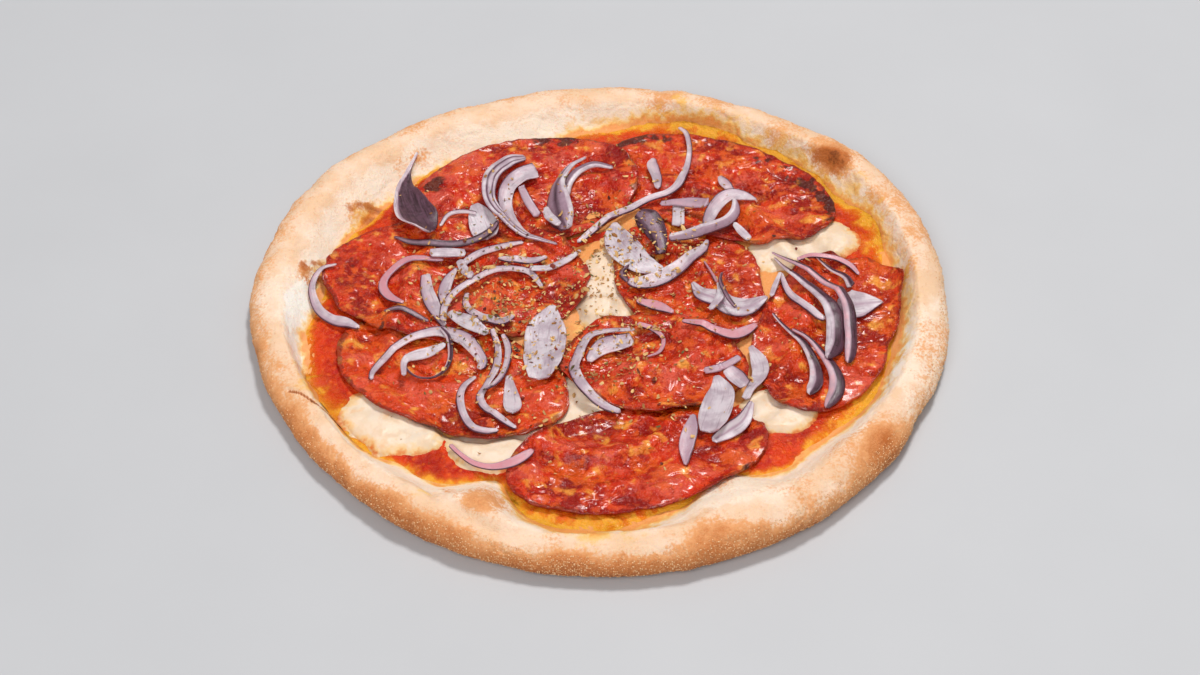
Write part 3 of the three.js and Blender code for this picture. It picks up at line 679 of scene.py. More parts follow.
CHAR_SPOTS = [  # x, y, radius and strength
    (-112, 56, 2.4, 0.35), (-108, 61, 2.4, 0.55), (-104, 64, 2, 0.7), (-100, 65, 2.6, 1.0),
    (-96, 65, 2.2, 0.8), (-101, 59, 2, 1.2), (-98, 60, 1.6, 1.2), (-109, 53, 1.6, 0.3),
    (-103, 55, 2, 0.5), (-125, 24, 2.2, 0.8), (-122, 28, 1.8, 0.7), (-119, 30, 1.8, 0.6),
    (-124, 19, 2, 0.5), (98, 86, 2.6, 0.9), (102, 84, 3, 1.0), (106, 82, 2.6, 0.9), (111, 79, 3, 0.9),
    (106, 78, 4, 0.5), (114, 48, 3, 0.5), (76, -110, 3.5, 0.45), (113, -83, 3.5, 0.5),
    (110, -88, 3, 0.3), (-60, -100, 2, 0.35), (-19, -129, 2, 0.3), (8, -138, 3, 0.45),
    (-79, -116, 5, 0.3), (-52, -112, 2.5, 0.25), (86, 91, 2.5, 0.35), (-66, -128, 4, 0.3),
]
STAINS = [  # yellow oil on the dough away from the sauce: x, y, radius and strength
    (-17, -118, 9, 0.62), (-6, -124, 9, 0.75), (8, -122, 8, 0.65), (17, -118, 8, 0.6),
    (-97, 63, 2.5, 0.6), (-118, 30, 3, 0.45), (124, 46, 6, 0.4), (112, 66, 8, 0.45), (62, 112, 6, 0.4),
    (118, -22, 5, 0.5), (-70, -107, 4, 0.4), (40, 123, 6, 0.35), (-122, -46, 5, 0.3),
]
NEAR_TABLE_SWELLS = [(0, 26, -0.95), (322, 16, -0.5), (180, 20, -0.5)]  # brown of the lowest part
FLOUR_AND_PAINTED_LIGHT_FACES = [(346, 16, 0.75), (316, 12, 0.35), (176, 12, 0.4)]  # flour on the outer face, and painted light: the right outer face is kept pale as if lit
FLOUR_AND_PAINTED_LIGHT_SWELLS = [(188, 24, 0.45), (344, 16, 0.3)]  # where all the flour is thicker, with painted light that keeps the left inner slope pale


def dough_fields(points, ways):
    """At each point of the skin, 0 to 1: browned, charred, oily, and flour with painted light."""
    x, y = points[..., 0], points[..., 1]
    angle = np.arctan2(y, x)
    way = np.broadcast_to(ways[:, None], x.shape)
    ragged = 0.22 * rough(points, 18, 41) + 0.08 * rough(points, 6, 43)
    outer_face = smooth_step(way + ragged, 2.1, 2.8) * swelling(0.38, TOASTED_SWELLS, angle)
    lowest = smooth_step(way + ragged, 2.65, 3.3)
    near_table = 0.3 * lowest * swelling(1, NEAR_TABLE_SWELLS, angle)
    cloudy = 0.22 * smooth_step(rough(points, 24, 45), 0, 0.9) * smooth_step(way, 1.7, 2.1)
    patches = spots_at(x, y, TOASTED_PATCHES) * (1 + 2 * ragged)
    pale = creases_at(x, y)[1] * (1 - smooth_step(way, 2.3, 2.8))
    browned = (outer_face + near_table + cloudy + patches) * (1 - 0.85 * pale)
    charred = spots_at(x, y, CHAR_SPOTS) * (1 + 2.5 * ragged)
    charred = charred + 1.7 * near_line(x, y, CRACK, 0.45)
    past_sauce = np.hypot(x, y) - puddle_radius(angle) + 1.6 * rough(points, 9, 61)
    soak = np.clip(swelling(0.35, OIL_SWELLS, angle), 0.1, 3.4)
    oily = np.exp(-np.clip(past_sauce, 0, None) / (1.2 + 1.7 * soak))
    oily = oily * (0.6 + 0.35 * np.minimum(soak, 1.2))
    oily = np.maximum(oily, spots_at(x, y, STAINS) * (1 + 2 * ragged))
    # Flour, and painted light: the swells keep the right outer face and the left inner slope pale.
    bare = smooth_step(way + ragged, 1.5, 2.1) * (1 - swelling(0, FLOUR_AND_PAINTED_LIGHT_FACES, angle))
    flour_and_painted_light = (1 - bare) * swelling(1, FLOUR_AND_PAINTED_LIGHT_SWELLS, angle)
    return {"browned": browned, "charred": charred, "oily": oily, "flour_and_painted_light": flour_and_painted_light}


def dough_finish():
    finish = Finish("baked_dough")
    browned, charred, oily, flour_and_painted_light = finish.attributes("browned", "charred", "oily", "flour_and_painted_light")
    cloud, mottle, sand = finish.grain(18, 4), finish.grain(4, 5), finish.grain(1.1)
    speck = finish.grain(0.5, 2)
    haze, blotch, dust = cloud - 0.5, mottle - 0.5, sand - 0.5
    colour = finish.mix(cloud, tint(240, 200, 163), tint(247, 214, 186))
    # Flour, and painted light: pale where the flour mask is high, as on slopes painted as if lit.
    flour_and_light = flour_and_painted_light + 0.4 * haze + 0.3 * blotch
    colour = finish.over(colour, tint(250, 226, 203), flour_and_light, 0.3, 0.9)
    # Painted light and flour: near white where swells lift the mask past 1, most on the left slope.
    colour = finish.over(colour, tint(255, 246, 234), flour_and_painted_light + 0.2 * haze, 1, 1.4)
    tan = browned + 0.16 * blotch + 0.2 * dust
    colour = finish.over(colour, tint(234, 166, 110), tan, 0.05, 0.45)
    freckles = finish.step(finish.noise(1.5, 2), 0.62, 0.7)
    freckles = freckles * finish.step(finish.noise(16, 2), 0.45, 0.62)
    colour = finish.mix(0.4 * freckles, colour, tint(214, 146, 88))
    golden = finish.mix(0.5 * speck, tint(206, 124, 66), tint(230, 164, 108))
    colour = finish.over(colour, golden, browned + 0.14 * blotch + 0.14 * dust, 0.35, 0.85)
    brown = finish.mix(0.5 * speck, tint(166, 88, 44), tint(208, 138, 84))
    colour = finish.over(colour, brown, browned + 0.2 * blotch + 0.2 * dust, 0.85, 1.35, 0.7)
    soaked = oily + 0.25 * blotch
    stain = finish.over(tint(248, 196, 80), tint(236, 142, 24), soaked, 0.45, 0.85)
    colour = finish.over(colour, stain, soaked, 0.15, 0.7, 0.85)
    burnt = charred + 0.25 * blotch + 0.12 * dust
    colour = finish.over(colour, tint(186, 98, 34), burnt, 0.15, 0.75, 0.8)
    black = charred + 0.4 * blotch + 0.25 * dust
    colour = finish.over(colour, tint(104, 50, 20), black, 0.8, 1.5, 0.7)
    fine = finish.bump(sand, 0.16, 0.5, finish.bump(mottle, 0.3, 0.3))
    fine = finish.bump(speck, 0.1, 0.5, fine)
    shine = 0.75 - 0.4 * finish.step(oily, 0.2, 0.7)
    finish.set(Subsurface_Weight=0.2, Subsurface_Scale=0.004, Subsurface_Radius=(1.0, 0.6, 0.35))
    return finish.set(Base_Color=colour, Roughness=shine, Normal=fine, Specular_IOR_Level=0.3)


crust = add_tube("crust_dough", dough, dough_finish(), dough_fields(dough, dough_ways))
settle_in(crust, "crust", "crust")
print("crust faces:", len(crust.data.polygons))

# %% [markdown]
# ## Round sheets
# Sauce, cheese and salami are all thin sheets with an uneven outline. A sheet's grid runs from
# the middle of its upper face out to the edge, round the edge and back under. Its share of the
# way out and its angle give the place, the draped map gives the height, and a thickness that
# runs out towards the edge gives the upper face. Fine detail is added to the upper face alone.
# Each kind of sheet has its own count of rings across its upper face and of columns round it.

# %% Round sheets
def sheet_grid(rings, columns):
    """share of the way out, how far round the edge in half circles, and upper (1) or lower (0)."""
    top = np.linspace(0.012, 1, rings) ** 0.9
    turn = np.linspace(0, 1, 5)[1:-1]
    low = np.linspace(1, 0.012, 7)
    share = np.concatenate([top, np.ones(len(turn)), low])
    upper = np.concatenate([np.ones(rings), 0.5 + 0.5 * np.cos(np.pi * turn), np.zeros(len(low))])
    bulge = np.concatenate([np.zeros(rings), np.sin(np.pi * turn), np.zeros(len(low))])
    angle = np.linspace(0, 2 * np.pi, columns, endpoint=False)
    return (*np.meshgrid(share, angle, indexing="ij"), upper[:, None], bulge[:, None])


def lumps(x, y, size, seed):
    """Low lumps, about -1 to 1, from products of sine waves."""
    along = np.sin(x / size + seed) * np.cos(y / size - 2 * seed)
    across = np.sin((x + y) / (1.7 * size) + 3 * seed) * np.sin((x - y) / (1.3 * size))
    return 0.6 * along + 0.4 * across


def rest_on(x, y, own, reach, rounds):
    """The height of the draped map where own is 1, and of the bare map where it is 0."""
    draped, bare = relief.drape(reach, rounds), relief.top
    return relief.read(draped, x, y) * own + relief.read(bare, x, y) * (1 - own)


def sheet_depth(x, y, share, depths, seed):
    """The thickness, for depths of the middle, of the edge and of the lumps."""
    middle, edge, lump = depths
    return middle + (edge - middle) * share ** 4 + lump * (1 + lumps(x, y, 4, seed))


def uneven_oval(half, turn, uneven, seed):
    """The radius of an oval at an angle from its middle, made uneven by wobble."""
    def outline(angle):
        own = angle - math.radians(turn)
        oval = 1 / np.hypot(np.cos(own) / half[0], np.sin(own) / half[1])
        return oval * (1 + uneven * wobble(angle, seed))
    return outline


# %% [markdown]
# ## Tomato sauce
# Crushed tomato baked thin: pulpy, wet and orange-red, with oil standing in its hollows. Its
# upper face is raised by noise of two sizes, for the pulp, and is smoothest near the edge.

# %% Tomato sauce
OIL_BANDS = [  # how wide the band of clear oil along the edge is: at, spread and by
    (350, 16, 6), (326, 10, 2), (16, 12, 5), (40, 12, 5), (66, 14, 5), (94, 14, 6), (120, 10, 1),
    (160, 10, 1.5), (185, 10, 2.5), (205, 9, 5), (236, 8, 1), (258, 8, 4), (272, 9, 4), (288, 7, 2),
]
SAUCE_DEPTHS = (1.7, 0.7, 0.35)  # mm: middle, edge, lumps
SAUCE_RINGS, SAUCE_COLUMNS = 110, 560
SAUCE_FLOOR, SAUCE_CEILING = 2.5, 20  # mm that its heights stay between
STEEP_SWELLS = [(200, 11, -13.5)]  # where the rim is steep, the ceiling keeps it low


def sauce_points():
    share, angle, upper, bulge = sheet_grid(SAUCE_RINGS, SAUCE_COLUMNS)
    ring = level(*polar(70, angle))
    edge = puddle_radius(angle) + 1.2 * rough(ring, 9, 5)
    reach = edge * share + 0.3 * bulge
    x, y = polar(reach, angle)
    from_edge = edge - reach
    height = rest_on(x, y, smooth_step(from_edge, 0, 8), 2, 4)
    flat = level(x, y)
    pulp = 0.45 * rough(flat, 5.5, 3) + 0.35 * np.abs(rough(flat, 2.4, 8, 2))
    thick = (sheet_depth(x, y, share, SAUCE_DEPTHS, 1) + pulp) * smooth_step(from_edge, -0.5, 6)
    z = height + upper * thick - 0.6 * (1 - smooth_step(from_edge, -0.5, 2))
    z = np.clip(z, SAUCE_FLOOR, swelling(SAUCE_CEILING, STEEP_SWELLS, angle))
    oily = from_edge / swelling(2.2, OIL_BANDS, angle)
    return np.stack([x, y, z], -1), {"oily": oily, "pulp": pulp * upper}


def sauce_finish():
    finish = Finish("baked_tomato_sauce")
    oily, pulp = finish.attributes("oily", "pulp")
    cloud, mottle, fine = finish.grain(9), finish.grain(2.6, 4), finish.grain(0.7)
    haze, blotch = cloud - 0.5, mottle - 0.5
    red = finish.mix(cloud, tint(184, 24, 2), tint(216, 54, 4))
    colour = finish.mix(0.6 * mottle, red, tint(222, 76, 18))
    # Painted shade: darker red in the hollows between the lumps of pulp.
    colour = finish.over(colour, tint(150, 16, 4), pulp, 0.15, -0.25, 0.5)
    colour = finish.over(colour, tint(236, 112, 34), finish.cells(3.4), 0.28, 0.1, 0.5)
    oil = finish.mix(mottle, tint(218, 94, 8), tint(238, 148, 26))
    colour = finish.over(colour, oil, oily + 0.7 * haze + 0.5 * blotch, 1.5, 0.5, 0.85)
    film = oily + 0.6 * blotch + 0.9 * haze
    colour = finish.over(colour, tint(246, 182, 54), film, 0.8, 0.0, 0.75)
    bump = finish.bump(fine, 0.2, 0.6, finish.bump(mottle, 0.5, 0.5))
    finish.set(Subsurface_Weight=0.1, Subsurface_Scale=0.002, Subsurface_Radius=(1.0, 0.3, 0.1))
    shine = 0.16 + 0.2 * fine
    return finish.set(Base_Color=colour, Roughness=shine, Normal=bump, Specular_IOR_Level=0.22)


points, fields = sauce_points()
slot = node = "tomato_sauce"
lay_tube("tomato_sauce_layer", points, sauce_finish(), fields, slot, node, SAUCE_RINGS)
print("sauce points:", points.shape)

# %% [markdown]
# ## Melted mozzarella
# Each patch has run out from a torn lump, so its middle is thick and smooth and its rim is thin
# and ragged, with sauce and oil showing through. Noise on the outline makes the ragged rim.

# %% Melted mozzarella
CHEESE_DEPTHS = (1.5, 0.6, 0.2)  # mm: middle, edge, lumps
CHEESE_RINGS, CHEESE_COLUMNS = 56, 230
CHEESE_PATCHES = [  # middle, half length and width, turn
    ((3, 10), (31, 15), 86), ((87, 36), (28, 15), 14), ((-84, -61), (26, 16), -24),
    ((-41, -74), (22, 15), 8), ((72, -60), (17, 12), -12), ((-12, -53), (19, 15), 28),
]


def cheese_points(middle, half, turn, seed):
    share, angle, upper, bulge = sheet_grid(CHEESE_RINGS, CHEESE_COLUMNS)
    reach = uneven_oval(half, turn, 0.09, seed + 3)(angle)
    ring = level(*polar(reach, angle), 40 * seed)
    reach = reach * (1 + 0.07 * rough(ring, 7, 13)) * share + 0.3 * bulge
    x, y = polar(reach, angle, middle)
    height = rest_on(x, y, smooth_step(1 - share, 0, 0.35), 3, 6)
    swell = 0.6 * rough(level(x, y), 11, 17) * (1 - share ** 3)
    thick = sheet_depth(x, y, share, CHEESE_DEPTHS, seed) + swell
    thick = thick * smooth_step(1 - share, -0.02, 0.3)
    z = height + upper * thick - 0.5 * (1 - smooth_step(1 - share, -0.02, 0.12))
    return np.stack([x, y, z], -1), {"share": share}


def cheese_finish():
    finish = Finish("melted_mozzarella")
    share, = finish.attributes("share")
    cloud, mottle = finish.grain(8), finish.grain(2.4)
    colour = finish.mix(cloud, tint(234, 204, 174), tint(241, 217, 194))
    rim = share + 0.2 * (cloud - 0.5) + 0.06 * (mottle - 0.5)
    colour = finish.over(colour, tint(242, 188, 104), rim, 0.7, 0.95, 0.7)
    colour = finish.over(colour, tint(226, 112, 30), rim, 0.88, 1.04, 0.9)
    colour = finish.over(colour, tint(238, 172, 92), finish.noise(5, 4), 0.56, 0.7, 0.32)
    bump = finish.bump(mottle, 0.15, 0.4)
    finish.set(Subsurface_Weight=0.25, Subsurface_Scale=0.004, Subsurface_Radius=(1.0, 0.7, 0.45))
    shine = 0.35 + 0.15 * cloud
    return finish.set(Base_Color=colour, Roughness=shine, Normal=bump, Specular_IOR_Level=0.35)


cheese = cheese_finish()
for number, shape in enumerate(CHEESE_PATCHES):
    points, fields = cheese_points(*shape, number)
    name, node = f"mozzarella_melt_{number + 1}", f"mozzarella_{number + 1}"
    lay_tube(name, points, cheese, fields, "mozzarella", node, CHEESE_RINGS)
print("cheese patches:", len(CHEESE_PATCHES))

# %% [markdown]
# ## Salami slices
# A salami slice is a thin flat sheet until it bakes, when its fat runs, its skin edge shrinks
# and curls, and its face blisters. Each is draped over what lies under it, its edge lifts most
# on one side, and its upper face gets wrinkles. The slices overlap, so they are laid in order.
# A cloth simulation would slide them, and they have to keep their places.

# %% Salami slices
SALAMI_DEPTHS = (1.4, 0.8, 0.25)  # mm: middle, edge, lumps
SALAMI_RINGS, SALAMI_COLUMNS = 104, 440
SALAMI_SLICES = [  # middle, half length and width, turn, curl, the side that curls, how orange
    ((39, 16), (40, 30), -64, 1.0, 30, 0.3), ((-61, -36.5), (51, 31), -27, 1.2, 240, 0.6),
    ((95, -16), (48, 29), 73, 1.9, 330, 0.4), ((14, -83), (53, 27), 13, 1.2, 250, 0.15),
    ((55, 72), (54, 29), -30, 1.9, 20, 0.2), ((-31, 72.5), (51, 33.5), 15, 1.9, 80, 0.0),
    ((-60, 20), (56, 38), -3, 1.5, 235, 0.2), ((22, -32), (39, 27), -6, 1.5, 285, 0.3),
]
SQUARER = {2: [(40, 11, 0.12), (-22, 22, -0.085), (74, 9, -0.14)]}  # the one slice with corners
SCORCHED = [  # where edges and humps of the slices are charred: x, y, radius and strength
    (-70, 78, 4, 1.3), (-73, 75, 3, 0.8), (-24, 107, 4, 0.8), (-11, 106, 5, 1.1), (3, 108, 5, 1.1),
    (13, 105, 5, 1.0), (22, 106, 5, 1.0), (32, 104, 4, 0.7), (74, 87, 4, 1.1), (84, 80, 4, 1.3),
    (92, 73, 4, 1.3), (98, 65, 4, 1.4), (102, 56, 4, 1.3), (103, 46, 3, 0.6), (-106, 30, 3, 0.5),
    (-92, -9, 4, 0.4), (-40, -76, 5, 0.4), (36, -56, 4, 0.4), (60, -92, 5, 0.4),
]


def salami_points(middle, half, turn, curl, curl_at, orange, seed):
    share, angle, upper, bulge = sheet_grid(SALAMI_RINGS, SALAMI_COLUMNS)
    reach = uneven_oval(half, turn, 0.025, seed + 11)(angle)
    ring = level(*polar(reach, angle), 70 * seed)
    reach = reach * swelling(1, SQUARER.get(seed, []), angle)
    reach = reach * (1 + 0.018 * rough(ring, 6, 19, 4)) * share + 0.4 * bulge
    x, y = polar(reach, angle, middle)
    height = relief.read(relief.drape(4, 7), x, y)
    lift = 0.6 * curl * (0.5 + 0.5 * np.cos(angle - math.radians(curl_at))) * share ** 5
    ruffle = 0.15 * share ** 6 * (1 + rough(ring, 11, 23))
    flat = level(x, y, 50 * seed)
    bent = flat + 3 * level(noise(flat, 8, 81), noise(flat, 8, 83))
    wave = 1.1 * rough(bent * [0.7, 1.2, 1], 10, 27, 2)
    wrinkle = wave + 0.55 * np.abs(rough(bent * [0.7, 1.3, 1], 3.6, 29, 2))
    thick = sheet_depth(x, y, share, SALAMI_DEPTHS, seed) + wrinkle * (1 - share ** 12)
    z = height + lift + ruffle + upper * thick
    scorch = spots_at(x, y, SCORCHED) * (0.5 + share ** 4) * (1 + 2 * rough(flat, 3, 91))
    fields = {"share": share, "wrinkle": wrinkle, "scorch": scorch}
    fields.update({"slice": 0 * share + seed, "orange": 0 * share + orange})
    return np.stack([x, y, z], -1), fields


def salami_finish():
    finish = Finish("baked_salami")
    number, share, wrinkle = finish.attributes("slice", "share", "wrinkle")
    scorch, orange = finish.attributes("scorch", "orange")
    shift = finish.node("ShaderNodeCombineXYZ", {}, {2: number * 0.05})
    sockets = {0: finish.place, 1: shift}
    place = finish.node("ShaderNodeVectorMath", {"operation": "ADD"}, sockets)
    cloud, mottle, fine = (finish.grain(size, 3, place) for size in (13, 4, 1.5))
    haze, blotch = cloud - 0.5, mottle - 0.5
    meat = finish.mix(cloud, tint(164, 6, 2), tint(212, 38, 2))
    meat = finish.mix(0.4 * mottle, meat, tint(222, 72, 16))
    meat = finish.mix(0.7 * orange, meat, tint(230, 80, 12))
    painted_shade_and_sheen = wrinkle + 0.5 * blotch
    # Painted shade: dark red in the valleys of the wrinkles.
    colour = finish.over(meat, tint(132, 6, 4), painted_shade_and_sheen, 0.1, -0.7, 0.75)
    # Painted sheen: pale pink on the crests of the wrinkles, where a wet slice catches light.
    colour = finish.over(colour, tint(232, 96, 74), painted_shade_and_sheen, 0.3, 1.2, 0.6)
    oil = finish.noise(16, 3, 0.5, 0.2, place) + 0.12 * blotch
    colour = finish.over(colour, tint(232, 96, 14), oil, 0.52, 0.64, 0.55)
    fat = finish.mix(mottle, tint(240, 134, 50), tint(246, 168, 66))
    colour = finish.over(colour, fat, finish.noise(6.5, 3, 0.45, 0.3, place), 0.55, 0.7, 0.8)
    fleck = finish.mix(cloud, tint(226, 96, 48), tint(238, 122, 34))
    colour = finish.over(colour, fleck, finish.noise(2.2, 3, 0.5, 0.3, place), 0.57, 0.68, 0.4)
    skin = finish.step(share + 0.04 * blotch + 0.02 * haze, 0.968, 0.995)
    colour = finish.mix(skin * (0.35 + 0.4 * cloud), colour, tint(104, 12, 6))
    colour = finish.over(colour, tint(58, 20, 16), scorch + 0.3 * blotch, 0.3, 0.9, 0.85)
    bump = finish.bump(fine, 0.45, 0.7, finish.bump(mottle, 0.8, 0.7))
    finish.set(Subsurface_Weight=0.08, Subsurface_Scale=0.002, Subsurface_Radius=(1.0, 0.25, 0.12))
    finish.set(Specular_IOR_Level=0.25, Coat_Weight=0.3, Coat_Roughness=0.17)
    return finish.set(Base_Color=colour, Roughness=0.13 + 0.16 * mottle, Normal=bump)


salami = salami_finish()
for number, shape in enumerate(SALAMI_SLICES):
    points, fields = salami_points(*shape, number)
    name, node = f"salami_slice_{number + 1}", f"salami_{number + 1}"
    lay_tube(name, points, salami, fields, "salami", node, SALAMI_RINGS)
print("salami slices:", len(SALAMI_SLICES), "highest:", round(float(relief.top.max()), 1), "mm")

# %% [markdown]
# ## Red onion
# An onion is a nest of curved shells, white inside and purple on the skin side. Cut across, it
# falls into arcs whose outer edge is a dark line; a wide petal shows a whole face of a shell.
# Each piece is a rounded section carried along a smooth path, with a width that runs out at the
# ends, a stand that turns it from lying flat to standing on edge, and, for petals, a hollow.
# Curves with a bevel could do this, but they can't rest on what lies below at every step.
# Each onion is listed with its look, its stand in degrees (0 lies flat, 90 is on edge), its cup
# (how hollow it is across, as a share of its width), its hop (how high its middle arches), and
# the corners of its path, each with the width there. Left and right in a look are as seen by
# someone walking along the path. A look gives how dark the lines along the left and the right
# edge are, where below 0 makes a pale rim, how pink the flesh is, and the bands of purple skin
# that the nested shells show, spread evenly from the left edge to the right.

